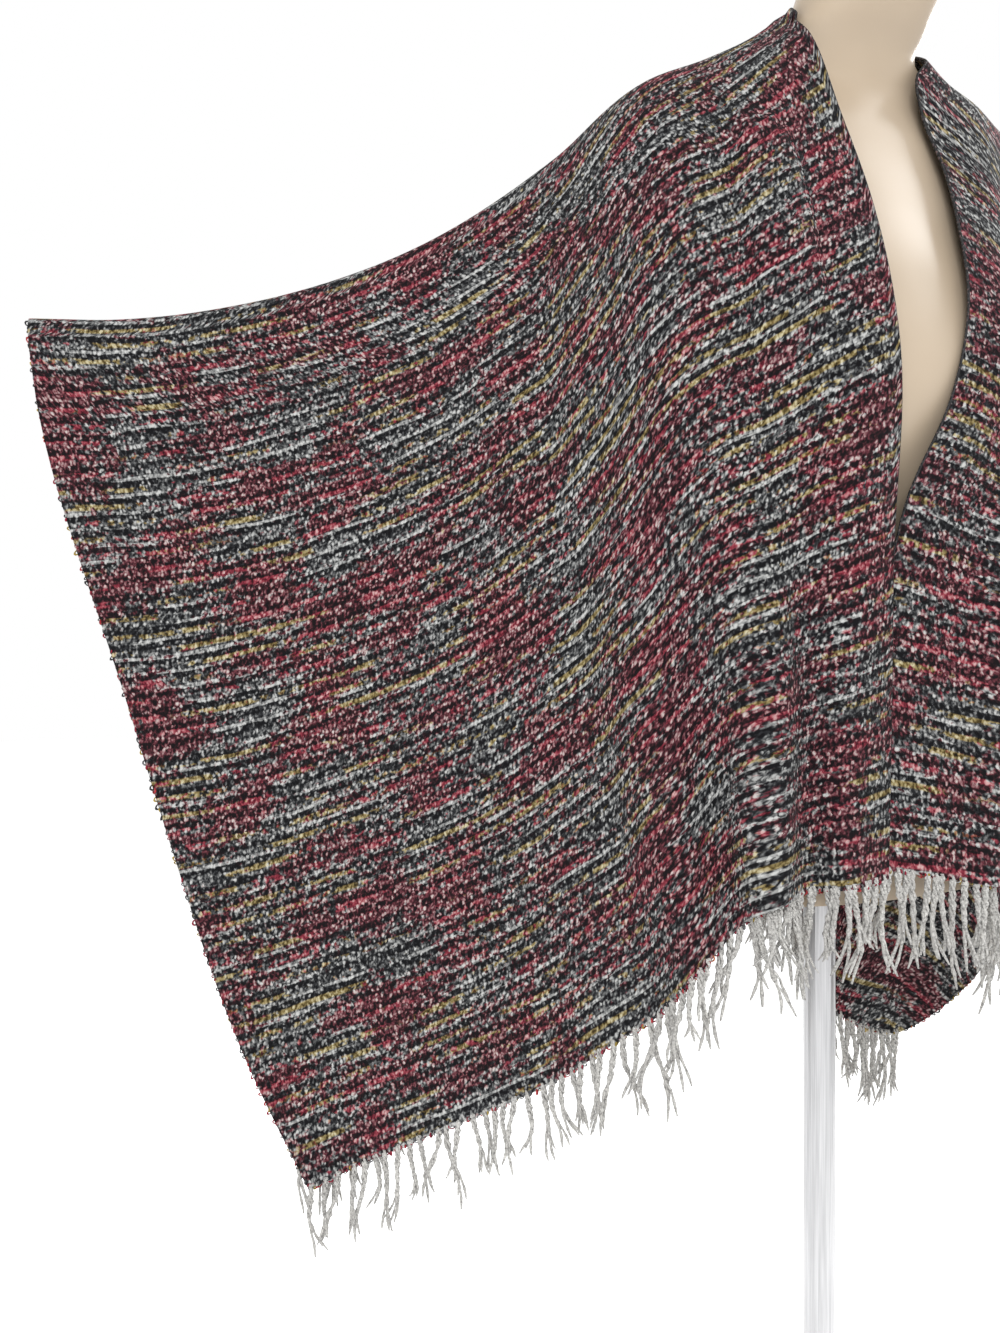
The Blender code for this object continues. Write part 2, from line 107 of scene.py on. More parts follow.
# Edges on that side: cloth width and cloth length at the point, x, y, z. Two rows of each are
# named after it: where the shoulder's stretch of hem ends, and the corner of hem and side edge
FALL_FRONT_EDGE = (
    (0.000, FRONT_LENGTH, -0.036, -0.104, 0.845),
    (0.040, FRONT_LENGTH, 0.004, -0.124, 0.838),
    (0.075, FRONT_LENGTH, 0.036, -0.132, 0.830),
    (0.105, FRONT_LENGTH, 0.058, -0.108, 0.818),
    (0.150, FRONT_LENGTH, 0.106, -0.086, 0.776),
    (0.205, FRONT_LENGTH, 0.160, -0.122, 0.724),
    (0.270, FRONT_LENGTH, 0.206, -0.172, 0.682),
    (0.370, FRONT_LENGTH, 0.188, -0.070, 0.652),
    (0.490, FRONT_LENGTH, 0.276, -0.132, 0.604),
    (HALF_WIDTH, FRONT_LENGTH, 0.236, -0.036, 0.566),
    (HALF_WIDTH, 0.500, 0.338, -0.112, 0.724),
    (HALF_WIDTH, 0.300, 0.246, -0.014, 0.828),
    (HALF_WIDTH, 0.150, 0.342, -0.010, 0.920),
    (HALF_WIDTH, 0.060, 0.297, 0.012, 0.912),
)
FRONT_SHOULDER_ROW = 4
FRONT_CORNER_ROW = 9
FALL_BACK_EDGE = (
    (HALF_WIDTH, 0.060, 0.297, 0.012, 0.912),
    (HALF_WIDTH, -0.030, 0.252, 0.034, 0.900),
    (HALF_WIDTH, -0.110, 0.336, 0.074, 0.906),
    (HALF_WIDTH, -0.250, 0.250, 0.086, 0.838),
    (HALF_WIDTH, -0.400, 0.322, 0.124, 0.762),
    (HALF_WIDTH, -0.530, 0.292, 0.072, 0.704),
    (HALF_WIDTH, -BACK_LENGTH, 0.184, 0.084, 0.645),
    (0.570, -BACK_LENGTH, 0.104, 0.096, 0.681),
    (0.450, -BACK_LENGTH, 0.172, 0.160, 0.705),
    (0.330, -BACK_LENGTH, 0.118, 0.150, 0.758),
    (0.240, -BACK_LENGTH, 0.140, 0.205, 0.765),
    (0.150, -BACK_LENGTH, 0.085, 0.168, 0.780),
    (0.075, -BACK_LENGTH, 0.045, 0.172, 0.790),
    (0.000, -BACK_LENGTH, 0.000, 0.140, 0.797),
)
BACK_CORNER_ROW = 6
BACK_SHOULDER_ROW = 11
print("cloth", 2 * HALF_WIDTH, "by", FRONT_LENGTH + BACK_LENGTH, "m")

# %% Neck opening, slit and held edge
NAPE = (0.000, 0.030, 1.474)
NECK_SHARE = 0.045
SPREAD_UNTIL = 0.120
TURN_AT_NECK = math.radians(20)
TURN_FADES_OVER = 0.10
# Where the slit's two edges run: height, x, y
WING_SLIT = (
    (0.839, -0.046, -0.107),
    (0.958, -0.044, -0.108),
    (1.050, -0.048, -0.113),
    (1.190, -0.051, -0.121),
    (1.296, -0.045, -0.092),
    (1.365, -0.048, -0.067),
    (1.425, -0.062, -0.051),
    (1.460, -0.048, -0.015),
)
FALL_SLIT = (
    (0.845, -0.050, -0.101),
    (0.957, -0.050, -0.102),
    (1.015, -0.047, -0.105),
    (1.058, -0.041, -0.109),
    (1.090, -0.036, -0.115),
    (1.160, 0.002, -0.119),
    (1.235, 0.029, -0.112),
    (1.291, 0.041, -0.095),
    (1.343, 0.050, -0.075),
    (1.389, 0.044, -0.060),
    (1.419, 0.043, -0.056),
    (1.438, 0.059, -0.050),
    (1.448, 0.062, -0.036),
    (1.458, 0.057, -0.016),
)
SLIT_FADES_OVER = 0.15
# How far the held edge bows outwards, by the share of the way down
HELD_EDGE_BOW = (
    (0.00, 0.000),
    (0.14, 0.012),
    (0.45, 0.015),
    (0.60, 0.018),
    (0.86, 0.015),
    (1.00, 0.000),
)
BOW_FADES_OVER = 0.35
BEND_ON_SHOULDER = 0.075
BEND_ON_WING = 0.022
BEND_ON_FALL = 0.055
BEND_FADES = (0.12, 0.26)
BEND_FADES_ON_FALL = (0.08, 0.15)
KNEE_SHARE = 0.3
CROWDED_AT_TOP = 1.25
TAUT_FROM = 0.02
TAUT_OVER = 0.12
print("slit", FRONT_LENGTH, "m from hem to nape")

# %% The dress form's sections
# Height, middle, half width, front, back
FORM_SECTIONS = (
    (0.820, 0.000, 0.160, -0.094, 0.100),
    (0.860, 0.000, 0.162, -0.097, 0.109),
    (0.940, 0.000, 0.150, -0.094, 0.097),
    (1.030, 0.000, 0.121, -0.084, 0.074),
    (1.110, 0.000, 0.131, -0.100, 0.084),
    (1.190, 0.000, 0.146, -0.114, 0.094),
    (1.250, 0.000, 0.153, -0.100, 0.098),
    (1.310, 0.002, 0.161, -0.078, 0.090),
    (1.350, 0.004, 0.166, -0.064, 0.076),
    (1.375, 0.013, 0.158, -0.056, 0.064),
    (1.390, 0.020, 0.145, -0.050, 0.054),
    (1.402, 0.023, 0.129, -0.046, 0.047),
    (1.412, 0.024, 0.109, -0.045, 0.039),
    (1.422, 0.019, 0.087, -0.049, 0.030),
    (1.434, 0.005, 0.062, -0.057, 0.021),
    (1.450, 0.002, 0.053, -0.077, 0.012),
    (1.475, 0.002, 0.051, -0.102, 0.001),
    (1.512, 0.002, 0.051, -0.130, -0.027),
)
FORM_SQUARENESS = 2.3
print("form", round(FORM_SECTIONS[-1][0] - FORM_SECTIONS[0][0], 3), "m tall")


# %% Curves through rows
def through(rows, at):
    """The rows' later columns at a value of their first, on a smooth curve through every row."""
    table = np.array(rows)
    knots, values = table[:, 0], table[:, 1:]
    steps = np.diff(knots)
    slopes = np.diff(values, axis=0) / steps[:, None]
    inner = (slopes[:-1] * steps[1:, None] + slopes[1:] * steps[:-1, None]) / (
        steps[:-1] + steps[1:]
    )[:, None]
    tangents = np.vstack([slopes[:1], inner, slopes[-1:]])
    i = int(np.clip(np.searchsorted(knots, at) - 1, 0, len(steps) - 1))
    s = (at - knots[i]) / steps[i]
    return (
        (1 + 2 * s) * (1 - s) ** 2 * values[i]
        + s * (1 - s) ** 2 * steps[i] * tangents[i]
        + s * s * (3 - 2 * s) * values[i + 1]
        + s * s * (s - 1) * steps[i] * tangents[i + 1]
    )


def numbered(rows):
    """The rows with their own number in front."""
    return [(float(number), *row) for number, row in enumerate(rows)]


def ramp(value, start, end):
    """0 below the start, 1 above the end and a soft rise between."""
    share = min(max((value - start) / (end - start), 0.0), 1.0)
    return share * share * (3 - 2 * share)


print("halfway along the wing's shoulder line", through(WING_RIDGE, 0.33).round(3))


# %% Keeping clear of the form
MOST_WAY_OUT = 0.25
WAY_OUT_STEP = 0.001


def way_out(point, direction):
    """How far a point has to go along a level direction until it has left the form."""
    if not FORM_SECTIONS[0][0] <= point[2] <= FORM_SECTIONS[-1][0]:
        return 0.0
    middle, half_width, front, back = through(FORM_SECTIONS, point[2])
    walk = np.arange(0, MOST_WAY_OUT, WAY_OUT_STEP)
    across = np.abs(point[0] + walk * direction[0] - middle) / half_width
    along = np.abs(point[1] + walk * direction[1] - (front + back) / 2) / ((back - front) / 2)
    inside = np.nonzero(across**FORM_SQUARENESS + along**FORM_SQUARENESS < 1)[0]
    return walk[inside[-1]] + WAY_OUT_STEP if len(inside) else 0.0


def taut(down, reaches):
    """The reaches of a string pulled tight over the given ones, from the first to the last."""
    kept = []
    for place, reach in zip(down, reaches):
        while len(kept) > 1:
            (first, low), (last, high) = kept[-2:]
            if (high - low) * (place - first) > (reach - low) * (last - first):
                break
            kept.pop()
        kept.append((place, reach))
    places, heights = zip(*kept)
    return np.interp(down, places, heights)


print("the form's half width at the bust", way_out((0, 0, 1.19), (1, 0)))

# %% [markdown]
# ## Hanging lines
# A line of cloth leaves the shoulder line level, bends and then falls. A cubic curve does that with
# four points. After that each line is moved out until it clears the form. Cloth doesn't follow a
# waist inwards, so the line is pulled taut over whatever it was pushed out by.

# %% One line of the cloth
CELLS_DOWN = 66


def hanging_line(top, end, leaves, bend):
    """Points down one line of the cloth, which is level as it leaves the shoulder line."""
    handle = top + bend * leaves
    knee = handle + KNEE_SHARE * (end - handle)
    shares = np.linspace(0, 1, CELLS_DOWN + 1)[:, None] ** CROWDED_AT_TOP
    return (
        (1 - shares) ** 3 * top
        + 3 * shares * (1 - shares) ** 2 * handle
        + 3 * shares**2 * (1 - shares) * knee
        + shares**3 * end
    )


def pushed_clear(width, leaves, line):
    """The line moved level, along the way it leaves, until it clears the form and hangs taut."""
    reaches = line @ leaves
    under = np.array([0.0, 0.0, CLEAR_OF_FORM])
    outs = np.array([max(way_out(p, leaves), way_out(p - under, leaves)) for p in line])
    wanted = reaches + np.where(outs > 0, outs + CLEAR_OF_FORM, 0)
    start = int(np.argmax(line[:, 2] < line[0, 2] - TAUT_FROM))
    pulled = taut(-line[start:, 2], wanted[start:]) - wanted[start:]
    wanted[start:] += ramp(width, 0, TAUT_OVER) * pulled
    return line + (wanted - reaches)[:, None] * leaves


def bowed(width, line):
    """The line with the bow of the held edge, as far as the line is near that edge."""
    outwards = np.array(WING_RIDGE[-1][1:3]) - np.array(WING_RIDGE[-2][1:3])
    outwards = np.append(outwards / np.linalg.norm(outwards), 0.0)
    down = (line[0, 2] - line[:, 2]) / (line[0, 2] - line[-1, 2])
    bow = np.array([through(HELD_EDGE_BOW, share)[0] for share in down])
    return line + ramp(width, HALF_WIDTH - BOW_FADES_OVER, HALF_WIDTH) * bow[:, None] * outwards


def turned_aside(leaves, side, width):
    """The level direction of a line, turned away from the neck as far as the line is near it."""
    turn = side * TURN_AT_NECK * (1 - ramp(width, 0, TURN_FADES_OVER))
    return np.array(
        [
            math.cos(turn) * leaves[0] - math.sin(turn) * leaves[1],
            math.sin(turn) * leaves[0] + math.cos(turn) * leaves[1],
            0.0,
        ]
    )


print("a line of the cloth has", CELLS_DOWN + 1, "points")


# %% Lines of the wing and of the fall
READINGS_PER_ROW = 40
LOOK_ASIDE = 0.01


def shoulder_point(ridge, width, front):
    """Where a line leaves the shoulder line, or the neck opening behind the neck."""
    if front or width >= SPREAD_UNTIL:
        return through(ridge, width)
    if width >= NECK_SHARE:
        return through(ridge, (width - NECK_SHARE) * SPREAD_UNTIL / (SPREAD_UNTIL - NECK_SHARE))
    start, end = np.array(NAPE), through(ridge, 0.0)
    corner = np.array([end[0], start[1], (start[2] + end[2]) / 2])
    share = width / NECK_SHARE
    return (1 - share) ** 2 * start + 2 * share * (1 - share) * corner + share**2 * end


def edge_at_widths(rows, widths):
    """Points of an edge at the given cloth widths, read off the curve through the edge's rows."""
    places = np.linspace(0, len(rows) - 1, READINGS_PER_ROW * len(rows))
    dense = np.array([through(numbered(rows), place) for place in places])
    return np.stack([np.interp(widths, dense[:, 0], column) for column in dense.T[-3:]], axis=1)


def wing_lines(hem, front, widths):
    """One side of the wing: width, direction and points of each line."""
    side = 1 if front else -1
    drawn = []
    for width, end in zip(widths, edge_at_widths(hem, widths)):
        along = through(WING_RIDGE, min(width + LOOK_ASIDE, HALF_WIDTH)) - through(
            WING_RIDGE, max(width - LOOK_ASIDE, 0.0)
        )
        leaves = side * np.array([-abs(along[1]), -abs(along[0]), 0.0])
        leaves /= np.linalg.norm(leaves)
        if front:
            leaves = turned_aside(leaves, -1, width)
        bend = BEND_ON_SHOULDER + (BEND_ON_WING - BEND_ON_SHOULDER) * ramp(width, *BEND_FADES)
        line = hanging_line(shoulder_point(WING_RIDGE, width, front), end, leaves, bend)
        drawn.append((width, leaves, bowed(width, line)))
    return on_to_slit(drawn, WING_SLIT) if front else drawn


def fall_line(width, length, end, front):
    """One line of the free fall."""
    angle = math.atan2(max(width - SHOULDER_END, 0.0), length)
    leaves = np.array([math.sin(angle), -math.cos(angle), 0.0])
    if front:
        leaves = turned_aside(leaves, 1, width)
    width = min(max(width, 0.0), SHOULDER_END)
    bend = BEND_ON_SHOULDER + (BEND_ON_FALL - BEND_ON_SHOULDER) * ramp(
        width, *BEND_FADES_ON_FALL
    )
    return width, leaves, hanging_line(shoulder_point(FALL_RIDGE, width, front), end, leaves, bend)


def on_to_slit(drawn, slit_rows):
    """The lines with the first one moved on to the slit's edge, and the rest by less and less."""
    _, _, first = drawn[0]
    places = np.array([through(slit_rows, height) for height in first[:, 2]])
    aside = np.hstack([places - first[:, :2], np.zeros((len(first), 1))])
    return [
        (width, leaves, line + (1 - ramp(width, 0, SLIT_FADES_OVER)) * aside)
        for width, leaves, line in drawn
    ]


print("wing and fall are drawn from", len(WING_FRONT_HEM) + len(FALL_FRONT_EDGE), "front rows")

# %% [markdown]
# ## Laying the net
# A plane grid is a piece of cloth on a table: its points have a flat place, and it can be laid on the
# lines point by point. The flat place goes into the UV map in metres, so that the weave follows the
# cloth round each fold as the real rows of weft do. Four grids are laid: front and back of each side.

# %% How finely the cloth is netted
WIDTH_STEP = 0.0075
STEPS_PER_ROW = 8
NECK_LENGTH = 0.055
FRONT_FROM_SHOULDER = FRONT_LENGTH - NECK_LENGTH
PULLED_BACK = 0.060
PULL_FADES_OVER = 0.22


def flat_places(lines, top_across, end_across, top_along, end_along):
    """Where each point of the lines lies on the flat cloth: across it, and along it, in metres.

    The rows of weft run level from hem to hem, so a point's place along the cloth is its share of
    its own line, however long the line is."""
    places = []
    for line, left, right, top, end in zip(lines, top_across, end_across, top_along, end_along):
        run = np.concatenate([[0], np.cumsum(np.linalg.norm(np.diff(line, axis=0), axis=1))])
        share = run / run[-1]
        places.append(np.stack([left + (right - left) * share, top + (end - top) * share], axis=1))
    return places


def as_laid(lines, places, side, shoulder_lines):
    """The places with their distance from the slit measured over the cloth as it lies.

    Past the shoulder the lines fan out, and the difference fades there."""
    net = np.array(lines)
    down = np.gradient(net, axis=1)
    down /= np.linalg.norm(down, axis=2, keepdims=True)
    step = np.diff(net, axis=0)
    step -= (step * down[1:]).sum(axis=2, keepdims=True) * down[1:]
    run = np.vstack([np.zeros(net.shape[1]), np.cumsum(np.linalg.norm(step, axis=2), axis=0)])
    places = np.array(places)
    moved = side * run - places[:, :, 0]
    fanned = len(lines) - shoulder_lines
    fade = 1 - np.arange(1, fanned + 1) / max(fanned, 1)
    moved[shoulder_lines:] = moved[shoulder_lines - 1] * fade[:, None]
    places[:, :, 0] += moved
    return places


def pulled_back(width):
    """How far the cloth is pulled back over the neck, which slants the rows beside it."""
    return PULLED_BACK * (1 - ramp(width, 0.0, PULL_FADES_OVER))


def laid_grid(name, lines, places):
    """A grid laid on the lines, with the flat place of each point as its UV map."""
    bpy.ops.mesh.primitive_grid_add(
        x_subdivisions=len(lines) - 1, y_subdivisions=len(lines[0]) - 1, size=1
    )
    made = bpy.context.object
    made.name = name
    points = np.array(lines).transpose(1, 0, 2)
    flat = np.array(places).transpose(1, 0, 2).reshape(-1, 2)
    made.data.vertices.foreach_set("co", points.reshape(-1))
    corners = np.empty(len(made.data.loops), dtype=int)
    made.data.loops.foreach_get("vertex_index", corners)
    made.data.uv_layers.active.data.foreach_set("uv", flat[corners].reshape(-1))
    print(name, len(lines), "lines,", len(made.data.vertices), "points")
    return made


# %% Front and back of the wing
wing_widths = np.linspace(0, HALF_WIDTH, round(HALF_WIDTH / WIDTH_STEP) + 1)
wing_front = [pushed_clear(*one) for one in wing_lines(WING_FRONT_HEM, True, wing_widths)]
wing_back = [pushed_clear(*one) for one in wing_lines(WING_BACK_HEM, False, wing_widths)]


def ridge_width(width):
    """Where on the shoulder line a back line starts, as a distance out from the slit."""
    if width >= SPREAD_UNTIL:
        return width
    return max(width - NECK_SHARE, 0.0) * SPREAD_UNTIL / (SPREAD_UNTIL - NECK_SHARE)


def neck_along(width):
    """How far along the flat cloth a back line starts: from the nape round to the shoulder line."""
    return pulled_back(ridge_width(width)) - NECK_LENGTH * max(1 - width / NECK_SHARE, 0.0)


front_grid = laid_grid(
    "wing front",
    wing_front,
    as_laid(
        wing_front,
        flat_places(
            wing_front,
            -wing_widths,
            -wing_widths,
            [pulled_back(width) for width in wing_widths],
            np.full(len(wing_widths), FRONT_FROM_SHOULDER),
        ),
        -1,
        len(wing_widths),
    ),
)
back_grid = laid_grid(
    "wing back",
    wing_back,
    as_laid(
        wing_back,
        flat_places(
            wing_back,
            [-ridge_width(width) for width in wing_widths],
            -wing_widths,
            [neck_along(width) for width in wing_widths],
            np.full(len(wing_widths), -BACK_LENGTH),
        ),
        -1,
        len(wing_widths),
    ),
)

# %% Front and back of the side that falls
shoulder_widths = np.linspace(0, SHOULDER_END, round(SHOULDER_END / WIDTH_STEP) + 1)


def past_shoulder(rows, start, end):
    """Points of an edge between two of its rows: cloth width, cloth length and place."""
    places = np.linspace(start, end, STEPS_PER_ROW * (end - start) + 1)
    return [through(numbered(rows), place) for place in places]


front_hem = FALL_FRONT_EDGE[: FRONT_CORNER_ROW + 1]
front_ends = edge_at_widths(front_hem, shoulder_widths)
front_past = past_shoulder(FALL_FRONT_EDGE, FRONT_SHOULDER_ROW, len(FALL_FRONT_EDGE) - 1)
front_edge = [(w, FRONT_LENGTH, end) for w, end in zip(shoulder_widths, front_ends)]
front_edge += [(row[0], row[1], row[2:]) for row in front_past[1:]]
back_hem = FALL_BACK_EDGE[BACK_CORNER_ROW:]
back_ends = edge_at_widths(back_hem[::-1], shoulder_widths)
back_past = past_shoulder(FALL_BACK_EDGE, 0, BACK_SHOULDER_ROW)
back_edge = [(row[0], row[1], row[2:]) for row in back_past[:-1]]
back_edge += [(w, -BACK_LENGTH, end) for w, end in zip(shoulder_widths[::-1], back_ends[::-1])]

drawn = [fall_line(*one, front=True) for one in front_edge]
fall_front = [pushed_clear(*one) for one in on_to_slit(drawn, FALL_SLIT)]
fall_back = [pushed_clear(*fall_line(*one, front=False)) for one in back_edge]
print("lines past the shoulder", len(fall_front) + len(fall_back) - 2 * len(shoulder_widths))

# %% Their grids
front_widths = [min(max(one[0], 0.0), HALF_WIDTH) for one in front_edge]
back_widths = [min(max(one[0], 0.0), HALF_WIDTH) for one in back_edge]
fall_front_grid = laid_grid(
    "fall front",
    fall_front,
    as_laid(
        fall_front,
        flat_places(
            fall_front,
            np.minimum(front_widths, SHOULDER_END),
            front_widths,
            [pulled_back(width) for width in front_widths],
            [one[1] * FRONT_FROM_SHOULDER / FRONT_LENGTH for one in front_edge],
        ),
        1,
        len(shoulder_widths),
    ),
)
fall_back_grid = laid_grid(
    "fall back",
    fall_back,
    as_laid(
        fall_back[::-1],
        flat_places(
            fall_back[::-1],
            [ridge_width(min(width, SHOULDER_END)) for width in back_widths[::-1]],
            back_widths[::-1],
            [neck_along(width) for width in back_widths[::-1]],
            [one[1] for one in back_edge[::-1]],
        ),
        1,
        len(shoulder_widths),
    )[::-1],
)

# %% [markdown]
# ## One piece of cloth
# The real cloth has no seam on the shoulders, so the four grids are joined and the points that they
# share are merged. Creases come next, while the cloth is still a single layer. Each one is a soft
# ridge along a short run of the cloth, set where the photograph has one, and by the same
# rule where the cloth isn't seen.

# %% Joining the stretches
SHARED_POINTS = 0.0006


def all_selected(made):
    """The object alone is selected, in edit mode, with all of its mesh."""
    bpy.ops.object.mode_set(mode="OBJECT")
    bpy.ops.object.select_all(action="DESELECT")
    made.select_set(True)
    bpy.context.view_layer.objects.active = made
    bpy.ops.object.mode_set(mode="EDIT")
    bpy.ops.mesh.select_all(action="SELECT")


bpy.ops.object.select_all(action="DESELECT")
for grid in (front_grid, back_grid, fall_front_grid, fall_back_grid):
    grid.select_set(True)
bpy.context.view_layer.objects.active = front_grid
bpy.ops.object.join()
cloth = bpy.context.object
cloth.name = "ruana_cloth"
cloth.data.name = "ruana_cloth"
all_selected(cloth)
bpy.ops.mesh.remove_doubles(threshold=SHARED_POINTS)
bpy.ops.mesh.normals_make_consistent(inside=False)
bpy.ops.object.mode_set(mode="OBJECT")
print("cloth", len(cloth.data.vertices), "points,", len(cloth.data.polygons), "faces")

# %% Creases, listed one by one
# Across and along the flat cloth where a crease starts and ends, then half its width and its height
CREASES = (
    (-0.070, 0.100, -0.110, 0.380, 0.024, 0.0030),
    (-0.120, 0.060, -0.150, 0.330, 0.018, 0.0045),
    (-0.175, 0.110, -0.160, 0.470, 0.014, 0.0040),
    (-0.215, 0.030, -0.240, 0.300, 0.022, 0.0050),
    (-0.300, 0.040, -0.270, 0.360, 0.026, 0.0045),
    (-0.380, 0.060, -0.330, 0.480, 0.024, 0.0040),
    (-0.470, 0.030, -0.390, 0.400, 0.028, 0.0045),
    (-0.600, 0.030, -0.470, 0.300, 0.020, 0.0050),
    (-0.640, 0.040, -0.560, 0.360, 0.018, 0.0040),
    (-0.220, 0.320, -0.180, 0.640, 0.026, 0.0080),
    (-0.085, 0.380, -0.105, 0.700, 0.020, 0.0130),
    (0.030, 0.200, 0.040, 0.420, 0.016, 0.0030),
    (0.075, 0.260, 0.090, 0.700, 0.017, 0.0135),
    (0.130, 0.080, 0.170, 0.500, 0.018, 0.0045),
    (0.220, 0.240, 0.260, 0.600, 0.018, 0.0040),
    (0.330, 0.300, 0.360, 0.640, 0.022, 0.0040),
    (0.450, 0.320, 0.480, 0.620, 0.022, 0.0040),
    (-0.040, -0.160, -0.060, -0.520, 0.018, 0.0040),
    (-0.110, -0.100, -0.130, -0.420, 0.018, 0.0045),
    (-0.180, -0.120, -0.200, -0.560, 0.020, 0.0040),
    (-0.270, -0.060, -0.260, -0.380, 0.024, 0.0045),
    (-0.370, -0.080, -0.340, -0.460, 0.024, 0.0040),
    (-0.480, -0.040, -0.430, -0.380, 0.026, 0.0045),
    (-0.590, -0.040, -0.520, -0.320, 0.020, 0.0045),
    (0.040, -0.120, 0.050, -0.460, 0.018, 0.0045),
    (0.110, -0.080, 0.140, -0.480, 0.018, 0.0045),
    (0.200, -0.220, 0.250, -0.560, 0.020, 0.0040),
    (0.350, -0.260, 0.380, -0.580, 0.022, 0.0040),
    (0.500, -0.200, 0.520, -0.520, 0.022, 0.0040),
)
# A crease swells from its ends to its middle, and the higher power is the more pointed one
CREASE_ENDS = 0.02
CREASE_FULLNESS = 0.7
# A place on the chest, where the cloth's outer side is known to face forwards
CHEST_PLACE = (-0.10, 0.30)


def crease_height(flat):
    """How far each flat place is lifted by the creases."""
    lift = np.zeros(len(flat))
    for across, along, end_across, end_along, half, height in CREASES:
        start = np.array([across, along])
        run = np.array([end_across, end_along]) - start
        share = (flat - start) @ run / (run @ run)
        nearest = start + np.clip(share, 0, 1)[:, None] * run
        apart = np.linalg.norm(flat - nearest, axis=1)
        swell = np.sin(np.pi * np.clip(share, CREASE_ENDS, 1 - CREASE_ENDS)) ** CREASE_FULLNESS
        lift += height * swell * np.exp(-((apart / half) ** 2))
    return lift


print(len(CREASES), "creases, the highest", max(row[5] for row in CREASES) * 1000, "mm")

# %% The creases lifted out of the cloth
flat = np.zeros((len(cloth.data.vertices), 2))
corners = np.empty(len(cloth.data.loops), dtype=int)
cloth.data.loops.foreach_get("vertex_index", corners)
uv = np.empty(2 * len(corners))
cloth.data.uv_layers.active.data.foreach_get("uv", uv)
flat[corners] = uv.reshape(-1, 2)
points = np.empty(3 * len(flat))
cloth.data.vertices.foreach_get("co", points)
points = points.reshape(-1, 3)
normals = np.empty(3 * len(flat))
cloth.data.vertex_normals.foreach_get("vector", normals)
normals = normals.reshape(-1, 3)
chest = np.argmin(np.abs(flat - CHEST_PLACE).sum(axis=1))
if normals[chest, 1] > 0:
    normals = -normals
    cloth.data.flip_normals()
points += crease_height(flat)[:, None] * normals
cloth.data.vertices.foreach_set("co", points.reshape(-1))
cloth.data.update()
print("the lift is at most", round(float(crease_height(flat).max()) * 1000, 2), "mm")


# %% The cloth's wall
def applied(made, kind, **settings):
    """A modifier added with its settings and applied."""
    bpy.ops.object.select_all(action="DESELECT")
    made.select_set(True)
    bpy.context.view_layer.objects.active = made
    modifier = made.modifiers.new(kind.title(), kind)
    for setting, value in settings.items():
        setattr(modifier, setting, value)
    bpy.ops.object.modifier_apply(modifier=modifier.name)


area = sum(face.area for face in cloth.data.polygons)
applied(cloth, "SOLIDIFY", thickness=WALL, offset=0)
bpy.ops.object.shade_smooth_by_angle(angle=math.radians(60))
print("cloth area", round(area, 3), "m2, now", len(cloth.data.polygons), "faces")

# %% [markdown]
# ## The fringe
# The fringe is the cloth's own warp: the ends of its lengthwise yarns, left long and twisted together
# in small bundles. Each bundle is three soft plies wound round each other. They part towards the tip,
# where the twist lets go. A ply is a small ring carried down a path. All of them are worked out the
# same way, each with a length of its own, and joined into one mesh for each half hem.

# %% Sizes of a tassel
# Along a half hem: how many there are, how far each strays, and how many more crowd at its start,
# which is by the slit in front, at the middle of the held-out back, and at the falling back's corner
TASSELS_PER_HEM = 52
STRAY = 0.0035
HEM_END = 0.002
CROWDED_BY_SLIT = 11
CROWDED_AT_BACK = 7
# A root goes up into the cloth, less the gap that its half hem has in the solids
ROOT_INSIDE = 0.005
HEM_GAP = 0.0013
FOLDED_HEM_GAP = 0.0021
# A tassel: its longest, its shortest as a share of that, and how far its tip sways and wavers
TASSEL_LENGTH = 0.075
SHORTEST = 0.58
SWAY = 0.010
WAVER = 0.0034
TONE_STEP = 0.618
# Its plies: how they are netted, how thick they are, and how far they thin and swell
PLIES = 3
PLY_SIDES = 5
PLY_JOINTS = 15
PLY_RADIUS = 0.00135
TIP_RADIUS = 0.0006
SHORTEST_PLY = 0.84
THINS_BY = 0.25
LUMPS = 0.22
LUMPS_DOWN = 31
# Its twist, the share of the way down at which that lets go, and how far the plies then part
TWIST_RADIUS = 0.00115
TWISTS = 3.2
LETS_GO = (0.55, 0.85)
PARTS_BY = (0.001, 0.0050)
print(4 * TASSELS_PER_HEM + 2 * (CROWDED_BY_SLIT + CROWDED_AT_BACK), "tassels in all")


